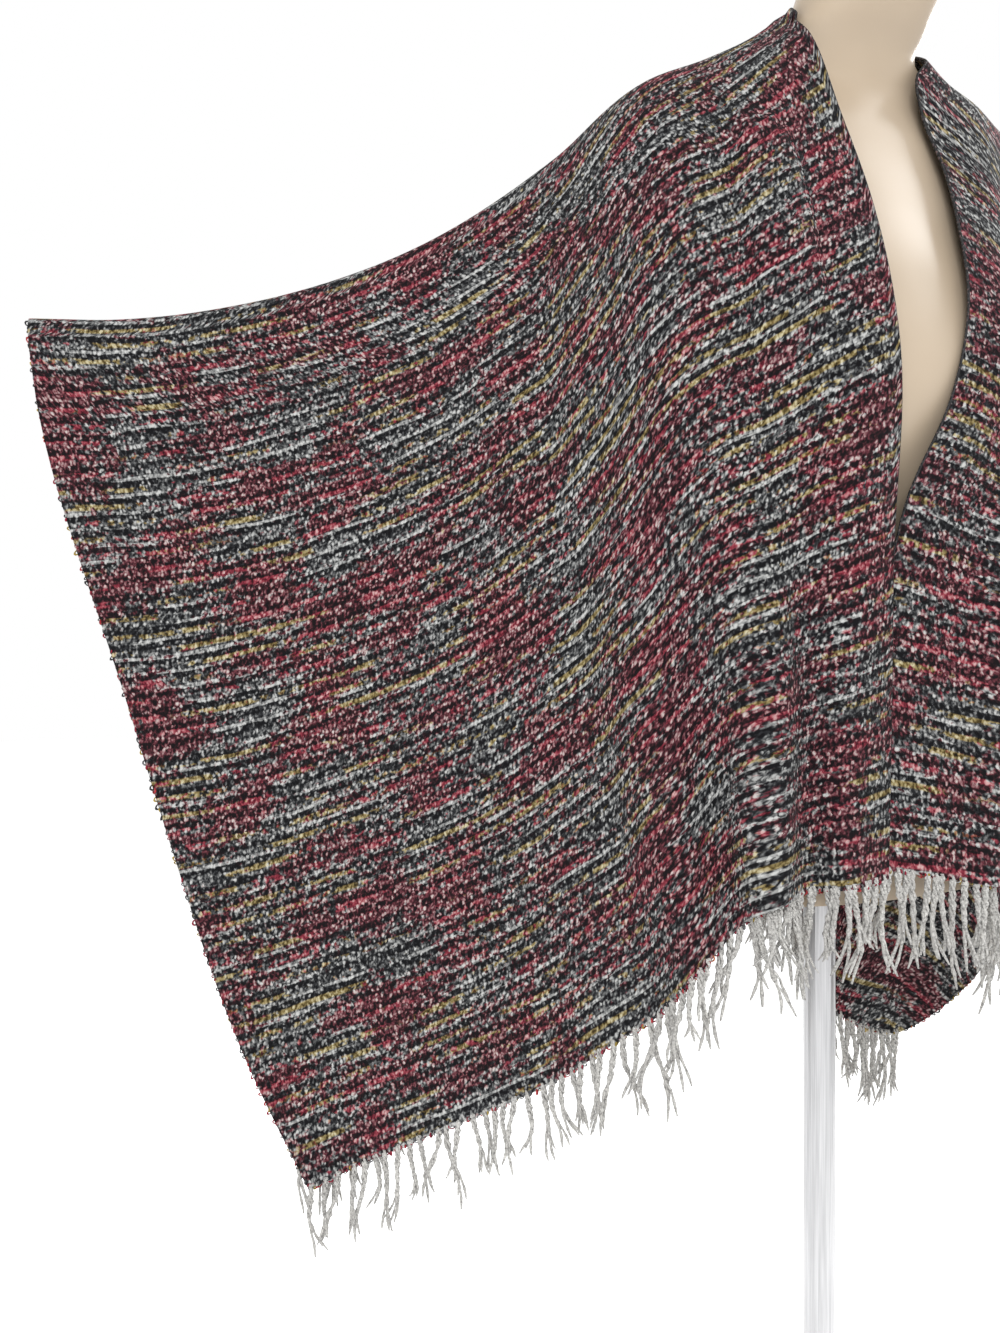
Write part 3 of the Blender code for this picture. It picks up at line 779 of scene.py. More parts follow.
# %% One tassel
def tassel_plies(root, number):
    """The plies of the tassel with this number: middle and radius of each of their rings."""
    seed = np.random.default_rng(7000 + number)
    length = TASSEL_LENGTH * seed.uniform(SHORTEST, 1.0)
    sway = SWAY * np.array([*seed.uniform(-1, 1, 2), 0.0])
    waver = seed.uniform(-1, 1, (2, 3))
    start_turn = seed.uniform(0, 2 * math.pi)
    lets_go = seed.uniform(*LETS_GO)
    plies = []
    for ply in range(PLIES):
        rings = []
        own_length = length * seed.uniform(SHORTEST_PLY, 1.0)
        part_way = seed.uniform(*PARTS_BY)
        for share in np.linspace(0, 1, PLY_JOINTS + 1):
            turn = start_turn + 2 * math.pi * (ply / PLIES + TWISTS * min(share, lets_go))
            open_share = max(share - lets_go, 0.0) / (1 - lets_go)
            reach = TWIST_RADIUS * (1 + 0.35 * math.sin(9 * share + waver[0, 0]))
            reach += part_way * open_share**1.5
            bend = WAVER * np.array(
                [
                    math.sin(5.0 * share + 3 * waver[0, 1]) - math.sin(3 * waver[0, 1]),
                    math.sin(4.3 * share + 3 * waver[1, 1]) - math.sin(3 * waver[1, 1]),
                    0.0,
                ]
            )
            centre = (
                root
                + sway * share**2
                + bend * share
                + reach * np.array([math.cos(turn), math.sin(turn), 0.0])
                - (0, 0, own_length * share)
            )
            lump = 1 + LUMPS * math.sin(LUMPS_DOWN * share + 6 * ply)
            thick = PLY_RADIUS * (1 - THINS_BY * share) * lump
            rings.append((centre, thick if share < 1 else TIP_RADIUS))
        plies.append(rings)
    return plies


lowest = min(rings[-1][0][2] for rings in tassel_plies(np.zeros(3), 0))
print("first tassel reaches", round(-lowest * 1000, 1), "mm down")


# %% A hem's fringe
def hem_points(lines):
    """The edge point of each line."""
    return np.array([line[-1] for line in lines])


def reached_along(points):
    """How far along a path each of its points lies."""
    steps = np.linalg.norm(np.diff(points, axis=0), axis=1)
    return np.concatenate([[0], np.cumsum(steps)])


def point_at(place, reached, points):
    """The point of a path that lies so far along it."""
    return np.array([np.interp(place, reached, column) for column in points.T])


def tassel_places(length, crowded, seed):
    """Where the tassels hang along a hem. Some more stand between the first of them."""
    places = (np.arange(TASSELS_PER_HEM) + 0.5) * length / TASSELS_PER_HEM
    between = (np.arange(crowded) + 1.0) * length / TASSELS_PER_HEM
    places = np.concatenate([places, between])
    places += np.random.default_rng(seed).uniform(-STRAY, STRAY, len(places))
    return np.clip(places, HEM_END, length - HEM_END)


def ply_faces(first):
    """The faces of a ply whose points start at this number: its sides, its root and its tip."""
    faces = []
    for joint in range(PLY_JOINTS):
        for side in range(PLY_SIDES):
            upper = first + joint * PLY_SIDES
            lower = upper + PLY_SIDES
            other = (side + 1) % PLY_SIDES
            faces.append((upper + other, upper + side, lower + side, lower + other))
    tip = first + PLY_JOINTS * PLY_SIDES
    faces.append(tuple(first + side for side in range(PLY_SIDES)))
    faces.append(tuple(tip + side for side in reversed(range(PLY_SIDES))))
    return faces


def fringe(name, lines, gap, crowded):
    """The tassels of one half hem as one mesh."""
    hem = hem_points(lines)
    reached = reached_along(hem)
    around = np.linspace(0, 2 * math.pi, PLY_SIDES, endpoint=False)
    round_about = np.stack([np.cos(around), np.sin(around), np.zeros(PLY_SIDES)], axis=1)
    all_points, faces, tones = [], [], []
    for number, place in enumerate(tassel_places(reached[-1], crowded, len(name))):
        root = point_at(place, reached, hem) + (0, 0, ROOT_INSIDE - gap)
        for ply in tassel_plies(root, number + 100 * len(name)):
            faces.extend(ply_faces(len(all_points)))
            for centre, thick in ply:
                all_points.extend(centre + thick * round_about)
                tones.extend([(number * TONE_STEP) % 1] * PLY_SIDES)
    mesh = bpy.data.meshes.new(name)
    mesh.from_pydata([tuple(point) for point in all_points], [], faces)
    mesh.shade_smooth()
    tone_of = mesh.attributes.new("tone", "FLOAT", "POINT")
    tone_of.data.foreach_set("value", tones)
    made = bpy.data.objects.new(name, mesh)
    bpy.context.scene.collection.objects.link(made)
    print(name, len(faces), "faces")
    return made


# %% Fringes of the four half hems
corner_front = len(shoulder_widths) + STEPS_PER_ROW * (FRONT_CORNER_ROW - FRONT_SHOULDER_ROW)
corner_back = STEPS_PER_ROW * BACK_CORNER_ROW
yarn_fringes = {
    "fringe_front_held_out": fringe(
        "tassels_front_held_out", wing_front, HEM_GAP, CROWDED_BY_SLIT
    ),
    "fringe_front_falling": fringe(
        "tassels_front_falling", fall_front[:corner_front], FOLDED_HEM_GAP, CROWDED_BY_SLIT
    ),
    "fringe_back_held_out": fringe(
        "tassels_back_held_out", wing_back, HEM_GAP, CROWDED_AT_BACK
    ),
    "fringe_back_falling": fringe(
        "tassels_back_falling", fall_back[corner_back:], HEM_GAP, CROWDED_AT_BACK
    ),
}
print("corner of the falling front at", fall_front[corner_front - 1][-1].round(3))

# %% [markdown]
# ## The dress form
# The form is moulded in one smooth shell, with no limbs. The solid model has it in a few flat-sided
# rings, which would show as bands on a satin skin. Here the same sections are read at many more
# heights, laid on a grid that is closed round, capped at both ends and rounded off at its rims.

# %% Sizes of the form's net
FORM_RINGS = 150
FORM_TURNS = 96
FORM_RIM = 0.003
FORM_NET_LENGTH = 0.7


def form_line(turn):
    """Points up one side of the form, at a turn about its middle."""
    across, along = math.cos(turn), math.sin(turn)
    rounding = 2 / FORM_SQUARENESS
    line = []
    for height in np.linspace(FORM_SECTIONS[0][0], FORM_SECTIONS[-1][0], FORM_RINGS + 1):
        middle, half_width, front, back = through(FORM_SECTIONS, height)
        line.append(
            (
                middle + half_width * math.copysign(abs(across) ** rounding, across),
                (front + back) / 2
                + (back - front) / 2 * math.copysign(abs(along) ** rounding, along),
                height,
            )
        )
    return np.array(line)


turns = np.linspace(0, 2 * math.pi, FORM_TURNS + 1)
form_lines = [form_line(turn) for turn in turns]
form_flat = flat_places(
    form_lines, turns, turns, np.zeros(len(turns)), np.full(len(turns), FORM_NET_LENGTH)
)
dress_form = laid_grid("dress_form", form_lines, form_flat)
print("form ready to close")

# %% Closing the form
all_selected(dress_form)
bpy.ops.mesh.remove_doubles(threshold=0.0001)
bpy.ops.mesh.select_all(action="DESELECT")
bpy.ops.mesh.select_non_manifold()
bpy.ops.mesh.fill_holes(sides=0)
bpy.ops.mesh.select_all(action="SELECT")
bpy.ops.mesh.normals_make_consistent(inside=False)
bpy.ops.object.mode_set(mode="OBJECT")
applied(dress_form, "BEVEL", width=FORM_RIM, segments=3, limit_method="ANGLE", angle_limit=1.0)
bpy.ops.object.shade_smooth_by_angle(angle=math.radians(50))
print("form", len(dress_form.data.polygons), "faces")

# %% [markdown]
# ## Small edges
# The slit was cut, so its edges are bound with a narrow black overlock. The side edges are woven, and
# there the weft yarns turn back as small coloured loops. The binding is a curve given a round
# profile, and the loops are one small ring, copied along the edges in one mesh.

# %% Overlock along the slit
OVERLOCK_RADIUS = 0.0012
neck_wing = [line[0] for line, width in zip(wing_back, wing_widths) if width <= NECK_SHARE]
neck_fall = [line[0] for line, width in zip(fall_back, back_widths) if width <= NECK_SHARE]
slit_path = [*wing_front[0][::-1], *neck_wing[::-1], *neck_fall[::-1][1:], *fall_front[0]]
curve = bpy.data.curves.new("slit_overlock", "CURVE")
curve.dimensions = "3D"
curve.bevel_depth = OVERLOCK_RADIUS
curve.bevel_resolution = 2
curve.use_fill_caps = True
spline = curve.splines.new("POLY")
spline.points.add(len(slit_path) - 1)
for knot, place in zip(spline.points, slit_path):
    knot.co = (*place, 1)
overlock = bpy.data.objects.new("slit_overlock", curve)
bpy.context.scene.collection.objects.link(overlock)
bpy.ops.object.select_all(action="DESELECT")
overlock.select_set(True)
bpy.context.view_layer.objects.active = overlock
bpy.ops.object.convert(target="MESH")
overlock = bpy.context.object
bpy.ops.object.shade_smooth()
print("overlock", len(overlock.data.polygons), "faces along", len(slit_path), "points")

# %% One selvage loop
LOOP_RADIUS = 0.0021
LOOP_YARN = 0.00065
LOOP_SIZES = (0.55, 1.25)
LOOP_HEIGHTS = (0.5, 0.9)
LOOP_LEAN = 0.6
LOOP_STRAY = 0.4
SIDE_LOOPS_APART = 0.0052
HEM_LOOPS_APART = 0.0040
bpy.ops.object.select_all(action="DESELECT")
bpy.ops.mesh.primitive_torus_add(
    major_radius=LOOP_RADIUS, minor_radius=LOOP_YARN, major_segments=9, minor_segments=4
)
loop_template = bpy.context.object
bpy.ops.object.mode_set(mode="EDIT")
bpy.ops.mesh.select_all(action="SELECT")
bpy.ops.transform.rotate(value=math.radians(90), orient_axis="X", center_override=(0, 0, 0))
bpy.ops.object.mode_set(mode="OBJECT")
loop_shape = np.array([vertex.co[:] for vertex in loop_template.data.vertices])
loop_faces = [tuple(face.vertices) for face in loop_template.data.polygons]
bpy.data.objects.remove(loop_template, do_unlink=True)
print("one loop has", len(loop_faces), "faces")


# %% Loops along the woven edges
def loops_along(path, apart, seed):
    """Loops standing out of a path, each turned and sized a little differently."""
    reached = reached_along(path)
    places = np.arange(apart, reached[-1] - apart, apart)
    places += seed.uniform(-LOOP_STRAY, LOOP_STRAY, len(places)) * apart
    made = []
    for place in places:
        at = point_at(place, reached, path)
        turn, lean = seed.uniform(0, 2 * math.pi), seed.uniform(-LOOP_LEAN, LOOP_LEAN)
        size = seed.uniform(*LOOP_SIZES)
        spin = np.array(
            [
                [math.cos(turn), -math.sin(turn), 0],
                [math.sin(turn), math.cos(turn), 0],
                [lean, 0, 1],
            ]
        )
        stretch = np.array([1, 1, seed.uniform(*LOOP_HEIGHTS)])
        made.append(at + (loop_shape * size * stretch) @ spin.T)
    return made


def joined_loops(name, loops, low, high):
    """Loops as one mesh, each with its own tone between two values."""
    mesh = bpy.data.meshes.new(name)
    count = len(loop_shape)
    mesh.from_pydata(
        [tuple(point) for loop in loops for point in loop],
        [],
        [tuple(k * count + i for i in face) for k in range(len(loops)) for face in loop_faces],
    )
    mesh.shade_smooth()
    tone = mesh.attributes.new("tone", "FLOAT", "POINT")
    tone.data.foreach_set("value", np.repeat(edge_seed.uniform(low, high, len(loops)), count))
    made = bpy.data.objects.new(name, mesh)
    bpy.context.scene.collection.objects.link(made)
    print(name, len(loops), "loops,", len(mesh.polygons), "faces")
    return made


edge_seed = np.random.default_rng(41)
to_side = fall_front[corner_front - 1 :]
from_side = fall_back[: corner_back + 1]
woven_edges = [wing_front[-1], wing_back[-1], hem_points(to_side), hem_points(from_side)]
selvage = joined_loops(
    "selvage_loops",
    [loop for edge in woven_edges for loop in loops_along(edge, SIDE_LOOPS_APART, edge_seed)],
    0.0,
    0.97,
)

# %% Last weft at the hems
# Between the tassels the last row of weft stands out as small bright loops
hems = [wing_front, wing_back, fall_front[:corner_front], fall_back[corner_back:]]
hem_weft = joined_loops(
    "hem_weft_loops",
    [loop for hem in hems for loop in loops_along(hem_points(hem), HEM_LOOPS_APART, edge_seed)],
    0.35,
    1.0,
)

# %% [markdown]
# ## The weave
# Boucle yarn is a yarn of tiny loops, so the cloth reads as curls of light and dark rather than
# threads. The yarn was dyed in lengths of crimson, grey, mustard and black before it was woven, which
# gives broken rows across the cloth. A noise pushed about by another noise gives the curls, and round
# tufts stand up among them. Bands along the flat cloth give the rows, and slower noises choose each
# stretch's colours. Each curl's colour is partly the yarn's own speckled tone and partly painted
# light: painted shade in the gaps between the curls and a painted highlight on their tops.


# %% Building nodes
def node_in(tree, kind, **settings):
    """A node of a kind, with its settings."""
    made = tree.nodes.new(kind)
    for name, value in settings.items():
        setattr(made, name, value)
    return made


def joined(tree, source, target):
    """A link from one socket to another."""
    tree.links.new(source, target)


def sum_of(tree, operation, first, second=None, third=None, clamp=False):
    """A Math node's result, from numbers or from other sockets."""
    made = node_in(tree, "ShaderNodeMath", operation=operation, use_clamp=clamp)
    for socket, value in zip(made.inputs, (first, second, third)):
        if value is None:
            continue
        if isinstance(value, (int, float)):
            socket.default_value = value
        else:
            joined(tree, value, socket)
    return made.outputs[0]


def mixed(tree, share, first, second):
    """One colour mixed with another."""
    made = node_in(tree, "ShaderNodeMix", data_type="RGBA")
    sockets = (made.inputs[0], made.inputs[6], made.inputs[7])
    for socket, value in zip(sockets, (share, first, second)):
        if isinstance(value, (int, float, tuple)):
            socket.default_value = value
        else:
            joined(tree, value, socket)
    return made.outputs[2]


def colour_rows(tree, value, stops, interpolation="CONSTANT"):
    """A colour for each value, in steps or blended from stop to stop."""
    made = node_in(tree, "ShaderNodeValToRGB")
    made.color_ramp.interpolation = interpolation
    while len(made.color_ramp.elements) < len(stops):
        made.color_ramp.elements.new(0.5)
    for element, (place, colour) in zip(made.color_ramp.elements, stops):
        element.position = place
        element.color = colour
    joined(tree, value, made.inputs[0])
    return made.outputs[0]


def noise_at(tree, across, along, detail=1.0):
    """Soft noise in two directions, from about 0.2 to 0.8."""
    place = node_in(tree, "ShaderNodeCombineXYZ")
    joined(tree, across, place.inputs[0])
    joined(tree, along, place.inputs[1])
    made = node_in(tree, "ShaderNodeTexNoise", noise_dimensions="2D")
    made.inputs["Scale"].default_value = 1.0
    made.inputs["Detail"].default_value = detail
    joined(tree, place.outputs[0], made.inputs["Vector"])
    return made.outputs["Fac"]


def step_at(tree, value, start, end):
    """0 below the start, 1 above the end and smooth between, or the other way round."""
    made = node_in(tree, "ShaderNodeMapRange", interpolation_type="SMOOTHSTEP")
    made.inputs["From Min"].default_value = min(start, end)
    made.inputs["From Max"].default_value = max(start, end)
    made.inputs["To Min"].default_value = 0.0 if start < end else 1.0
    made.inputs["To Max"].default_value = 1.0 if start < end else 0.0
    joined(tree, value, made.inputs["Value"])
    return made.outputs["Result"]


def group_named(name, takes, gives):
    """A node group and its two ends: name, kind and value of each socket it takes and gives."""
    tree = bpy.data.node_groups.new(name, "ShaderNodeTree")
    for socket, kind, value in takes:
        made = tree.interface.new_socket(socket, in_out="INPUT", socket_type=kind)
        if value is not None:
            made.default_value = value
    for socket, kind in gives:
        tree.interface.new_socket(socket, in_out="OUTPUT", socket_type=kind)
    return tree, tree.nodes.new("NodeGroupInput"), tree.nodes.new("NodeGroupOutput")


print("node helpers are ready")

# %% Yarn colours
BLACK = (0.006, 0.006, 0.007, 1)
CHARCOAL = (0.022, 0.022, 0.025, 1)
GREY = (0.160, 0.160, 0.165, 1)
PALE = (0.500, 0.505, 0.510, 1)
CRIMSON = (0.300, 0.010, 0.034, 1)
SCARLET = (0.440, 0.022, 0.030, 1)
MUSTARD = (0.420, 0.290, 0.045, 1)
ORANGE = (0.520, 0.140, 0.030, 1)
CURL = 0.0031
ROW = 0.0122
print("a curl is", CURL * 1000, "mm and a row", ROW * 1000, "mm")

# %% Curls of yarn
# Every yarn here is fluffy, so this one effect serves the cloth, the fringe and the edges. The first
# three are counted per curl: how often the curls stray, how many specks there are and how many tufts
STRAYS = 0.8
SPECKS = 0.85
TUFTS = 0.95
STRAYS_BY = 0.9
SPECK_LIGHT = 0.66
TUFT_LIGHT = 0.60
LEAST_LIGHT = 0.055
curls, curls_in, curls_out = group_named(
    "Curled fluffy yarn",
    [("Place", "NodeSocketVector", None), ("Curl size", "NodeSocketFloat", CURL)],
    [("Light", "NodeSocketFloat"), ("Height", "NodeSocketFloat")],
)
per_metre = sum_of(curls, "DIVIDE", 1.0, curls_in.outputs["Curl size"])
in_curls = node_in(curls, "ShaderNodeVectorMath", operation="SCALE")
joined(curls, curls_in.outputs["Place"], in_curls.inputs[0])
joined(curls, per_metre, in_curls.inputs["Scale"])
strayed = node_in(curls, "ShaderNodeTexNoise")
strayed.inputs["Scale"].default_value = STRAYS
strayed.inputs["Detail"].default_value = 1.0
joined(curls, in_curls.outputs[0], strayed.inputs["Vector"])
from_middle = node_in(curls, "ShaderNodeVectorMath", operation="SUBTRACT")
from_middle.inputs[1].default_value = (0.5, 0.5, 0.5)
joined(curls, strayed.outputs["Color"], from_middle.inputs[0])
pushed = node_in(curls, "ShaderNodeVectorMath", operation="MULTIPLY_ADD")
pushed.inputs[1].default_value = (STRAYS_BY, STRAYS_BY, STRAYS_BY)
joined(curls, from_middle.outputs[0], pushed.inputs[0])
joined(curls, in_curls.outputs[0], pushed.inputs[2])
specks = node_in(curls, "ShaderNodeTexNoise")
specks.inputs["Scale"].default_value = SPECKS
specks.inputs["Detail"].default_value = 1.6
specks.inputs["Roughness"].default_value = 0.55
joined(curls, pushed.outputs[0], specks.inputs["Vector"])
tufts = node_in(curls, "ShaderNodeTexVoronoi", feature="F1")
tufts.inputs["Scale"].default_value = TUFTS
joined(curls, pushed.outputs[0], tufts.inputs["Vector"])
own_luck = node_in(curls, "ShaderNodeSeparateColor")
joined(curls, tufts.outputs["Color"], own_luck.inputs[0])
# Painted highlight and shade: a tuft is lighter in its middle, darker at its rim; the dome is also
# bump
dome_height_and_shade = step_at(curls, tufts.outputs["Distance"], 0.85, 0.10)
speck_light = node_in(curls, "ShaderNodeMapRange")
speck_light.inputs["From Min"].default_value = 0.22
speck_light.inputs["From Max"].default_value = 0.78
joined(curls, specks.outputs["Fac"], speck_light.inputs["Value"])
tuft_tone_and_shade = sum_of(curls, "MULTIPLY", own_luck.outputs[0], dome_height_and_shade)
on_specks = sum_of(
    curls, "MULTIPLY_ADD", speck_light.outputs["Result"], SPECK_LIGHT, LEAST_LIGHT
)
# The Light is the specks' own tone plus each tuft's own tone under its painted highlight and shade
lit = sum_of(curls, "MULTIPLY_ADD", tuft_tone_and_shade, TUFT_LIGHT, on_specks)
joined(curls, lit, curls_out.inputs["Light"])
joined(curls, sum_of(curls, "ADD", specks.outputs["Fac"], dome_height_and_shade), curls_out.inputs["Height"])
print("curls in", len(curls.nodes), "nodes")

# %% The weave's rows
# Curls are narrower across the cloth than along it, and rows waver by a share of their height
CURLS_SQUEEZED = (1.35, 1.08, 1.0)
ROW_WAVERS_BY = 0.42
FIRST_ROW = 0.45
weave, weave_in, weave_out = group_named(
    "Space-dyed boucle weave",
    [("Flat place", "NodeSocketVector", None)],
    [("Colour", "NodeSocketColor"), ("Height", "NodeSocketFloat")],
)
curled = node_in(weave, "ShaderNodeGroup", node_tree=curls)
curled.inputs["Curl size"].default_value = CURL
squeezed = node_in(weave, "ShaderNodeVectorMath", operation="MULTIPLY")
squeezed.inputs[1].default_value = CURLS_SQUEEZED
joined(weave, weave_in.outputs["Flat place"], squeezed.inputs[0])
joined(weave, squeezed.outputs[0], curled.inputs["Place"])
place = node_in(weave, "ShaderNodeSeparateXYZ")
joined(weave, weave_in.outputs["Flat place"], place.inputs[0])
across, along = place.outputs[0], place.outputs[1]


def times(first, second):
    """The product of two of the weave's values."""
    return sum_of(weave, "MULTIPLY", first, second)


def plus(first, second):
    """The sum of two of the weave's values."""
    return sum_of(weave, "ADD", first, second)


def noise_over(patches_across, patches_along, detail):
    """Noise over the whole cloth, with so many patches a metre each way."""
    return noise_at(weave, times(across, patches_across), times(along, patches_along), detail)


waver = noise_over(16.0, 70.0, 2.0)
straight_rows = sum_of(weave, "MULTIPLY_ADD", along, 1 / ROW, FIRST_ROW)
rows = sum_of(weave, "MULTIPLY_ADD", waver, ROW_WAVERS_BY, straight_rows)
row = sum_of(weave, "FLOOR", rows)
in_row = sum_of(weave, "FRACT", rows)
print("rows in the group:", len(weave.nodes), "nodes")


# %% Bands inside a row
# Middle, half height and softness of each band, as shares of a row
SMOOTH_LINE = (0.13, 0.075, 0.060)
BLACK_BAND = (0.42, 0.12, 0.12)
DYED_BAND = (0.76, 0.11, 0.10)
NEXT_ROW = 7.31


def band(middle, half, soft):
    """1 in a band of each row and 0 beside it."""
    away = sum_of(weave, "ABSOLUTE", sum_of(weave, "SUBTRACT", in_row, middle))
    return step_at(weave, away, half + soft, half)


def along_yarn(per_metre, start):
    """Noise that runs along one yarn and is another in the next row."""
    return noise_at(
        weave,
        sum_of(weave, "MULTIPLY_ADD", across, per_metre, start),
        sum_of(weave, "MULTIPLY_ADD", row, NEXT_ROW, start),
    )


smooth_line = band(*SMOOTH_LINE)
black_band = band(*BLACK_BAND)
dyed_band = band(*DYED_BAND)
print("bands in the group:", len(weave.nodes), "nodes")

# %% Crimson and grey stretches
# The yarn was dyed in long lengths, so neighbouring rows change colour close to each other
BROAD_SHARE = 0.58
RAGGED_BY = 0.62
CRIMSON_FROM = (0.470, 0.550)
GREY_FROM = (0.580, 0.500)
# Lengths of a dye per metre, where its noise starts, and the values it begins and is full at
MUSTARD_DYE = (15.0, 91.0, 0.50, 0.58)
PALE_LINE_DYE = (15.0, 23.0, 0.43, 0.51)
BRIGHT_DYE = (24.0, 63.0, 0.48, 0.58)
broad = noise_over(15.0, 22.0, 1.0)
clump = noise_over(170.0, 230.0, 2.0)
mingled = times(sum_of(weave, "SUBTRACT", clump, 0.5), RAGGED_BY)
broadly = times(broad, BROAD_SHARE)
by_row = sum_of(weave, "MULTIPLY_ADD", along_yarn(15.0, 40.0), 1 - BROAD_SHARE, mingled)
stretch = plus(broadly, by_row)


def dyed(per_metre, start, low, high):
    """Where a dye lies along the yarns, ragged at the ends of each length."""
    return step_at(weave, plus(along_yarn(per_metre, start), mingled), low, high)


crimson_here = step_at(weave, stretch, *CRIMSON_FROM)
grey_here = sum_of(weave, "SUBTRACT", 1.0, crimson_here)
well_in_grey = step_at(weave, stretch, *GREY_FROM)
mustard_here = times(dyed_band, times(dyed(*MUSTARD_DYE), well_in_grey))
line_here = times(smooth_line, times(dyed(*PALE_LINE_DYE), grey_here))
bright_here = times(dyed_band, times(dyed(*BRIGHT_DYE), crimson_here))
print("stretches in the group:", len(weave.nodes), "nodes")

# %% Light of each place
# The gaps between curls are nearly black with painted shade, and the bands are lighter or darker all
# along
BLACK_BAND_LIGHT = -0.15
LINE_LIGHT = 0.25
DYE_LIGHT = 0.08
from_black = times(black_band, BLACK_BAND_LIGHT)
from_line = times(line_here, LINE_LIGHT)
from_dye = times(sum_of(weave, "MAXIMUM", mustard_here, bright_here), DYE_LIGHT)
from_bands = plus(from_black, plus(from_line, from_dye))
lifted = sum_of(weave, "ADD", curled.outputs["Light"], from_bands, clamp=True)
print("light in the group:", len(weave.nodes), "nodes")

# %% Colours from dark gap to bright curl
# Each yarn's colours by the light of the place: its own speckled tone and bands, with painted shade
# in the gaps between curls and a painted highlight on their tops
GREY_LIGHTS = (
    (0.24, (0.005, 0.005, 0.006, 1)),
    (0.40, (0.019, 0.020, 0.022, 1)),
    (0.55, (0.088, 0.090, 0.091, 1)),
    (0.72, (0.232, 0.234, 0.230, 1)),
    (0.98, (0.440, 0.442, 0.432, 1)),
)
CRIMSON_LIGHTS = (
    (0.24, (0.007, 0.005, 0.006, 1)),
    (0.38, (0.024, 0.009, 0.011, 1)),
    (0.54, (0.105, 0.027, 0.036, 1)),
    (0.68, (0.230, 0.128, 0.132, 1)),
    (0.98, (0.450, 0.395, 0.375, 1)),
)
MUSTARD_LIGHTS = (
    (0.24, (0.008, 0.006, 0.003, 1)),
    (0.42, (0.075, 0.050, 0.012, 1)),
    (0.62, (0.230, 0.170, 0.052, 1)),
    (0.98, (0.450, 0.395, 0.220, 1)),
)
BRIGHT_LIGHTS = (
    (0.24, (0.012, 0.003, 0.004, 1)),
    (0.40, (0.090, 0.008, 0.016, 1)),
    (0.62, (0.270, 0.028, 0.046, 1)),
    (0.98, (0.450, 0.210, 0.215, 1)),
)
grey_yarn, crimson_yarn, mustard_yarn, bright_yarn = [
    colour_rows(weave, lifted, lights, "LINEAR")
    for lights in (GREY_LIGHTS, CRIMSON_LIGHTS, MUSTARD_LIGHTS, BRIGHT_LIGHTS)
]
print("colours in the group:", len(weave.nodes), "nodes")

# %% The weave put together
BRIGHT_SHARE = 0.65
MUSTARD_SHARE = 0.80
coloured = mixed(weave, crimson_here, grey_yarn, crimson_yarn)
coloured = mixed(weave, times(bright_here, BRIGHT_SHARE), coloured, bright_yarn)
coloured = mixed(weave, times(mustard_here, MUSTARD_SHARE), coloured, mustard_yarn)
joined(weave, coloured, weave_out.inputs["Colour"])
joined(weave, lifted, weave_out.inputs["Height"])
print("the whole group:", len(weave.nodes), "nodes")


# %% Cloth material
def new_material(name, colour, roughness, metallic=0.0):
    """A material, its node tree and its Principled shader."""
    made = bpy.data.materials.new(name)
    made.use_nodes = True
    shader = made.node_tree.nodes["Principled BSDF"]
    shader.inputs["Base Color"].default_value = colour
    shader.inputs["Roughness"].default_value = roughness
    shader.inputs["Metallic"].default_value = metallic
    return made, made.node_tree, shader


def bumped(tree, shader, height, strength, distance):
    """The shader's surface bumped by a height."""
    bump = node_in(tree, "ShaderNodeBump")
    bump.inputs["Strength"].default_value = strength
    bump.inputs["Distance"].default_value = distance
    joined(tree, height, bump.inputs["Height"])
    joined(tree, bump.outputs["Normal"], shader.inputs["Normal"])


boucle, tree, shader = new_material("Space-dyed boucle", CHARCOAL, 0.92)
shader.inputs["Sheen Weight"].default_value = 0.03
shader.inputs["Sheen Roughness"].default_value = 0.6
shader.inputs["Specular IOR Level"].default_value = 0.06
flat_place = node_in(tree, "ShaderNodeUVMap", uv_map=cloth.data.uv_layers.active.name)
woven = node_in(tree, "ShaderNodeGroup", node_tree=weave)
joined(tree, flat_place.outputs[0], woven.inputs["Flat place"])
joined(tree, woven.outputs["Colour"], shader.inputs["Base Color"])
bumped(tree, shader, woven.outputs["Height"], 0.75, 0.0010)
cloth.data.materials.clear()
cloth.data.materials.append(boucle)
print("cloth finish:", boucle.name)


# %% Yarn of the fringe
def fluffy(tree, curl_size):
    """The light and height of curls at the object's own place, with painted shade and highlight."""
    where = node_in(tree, "ShaderNodeTexCoord")
    made = node_in(tree, "ShaderNodeGroup", node_tree=curls)
    made.inputs["Curl size"].default_value = curl_size
    joined(tree, where.outputs["Object"], made.inputs["Place"])
    return made.outputs["Light"], made.outputs["Height"]


fringe_yarn, tree, shader = new_material("Twisted grey fringe yarn", PALE, 0.9)
shader.inputs["Sheen Weight"].default_value = 0.25
shader.inputs["Specular IOR Level"].default_value = 0.2
fluff_light, fluff_height = fluffy(tree, 0.0016)
tone = node_in(tree, "ShaderNodeAttribute", attribute_name="tone")
# The fringe's colour follows the curls' light: its own specks, with painted shade and highlight
specked = colour_rows(
    tree,
    fluff_light,
    ((0.15, (0.15, 0.145, 0.14, 1)), (0.42, (0.44, 0.43, 0.41, 1)), (0.85, (0.66, 0.65, 0.62, 1))),
    "LINEAR",
)
toned = mixed(
    tree,
    sum_of(tree, "MULTIPLY", tone.outputs["Fac"], 0.35),
    specked,
    (0.30, 0.29, 0.28, 1),
)
joined(tree, toned, shader.inputs["Base Color"])
bumped(tree, shader, fluff_height, 0.9, 0.0008)
for made in yarn_fringes.values():
    made.data.materials.append(fringe_yarn)
print("fringe finish:", fringe_yarn.name)

# %% Overlock and loops
overlock_thread, tree, shader = new_material("Black overlock thread", BLACK, 0.7)
stitch_light, stitch_height = fluffy(tree, 0.0022)
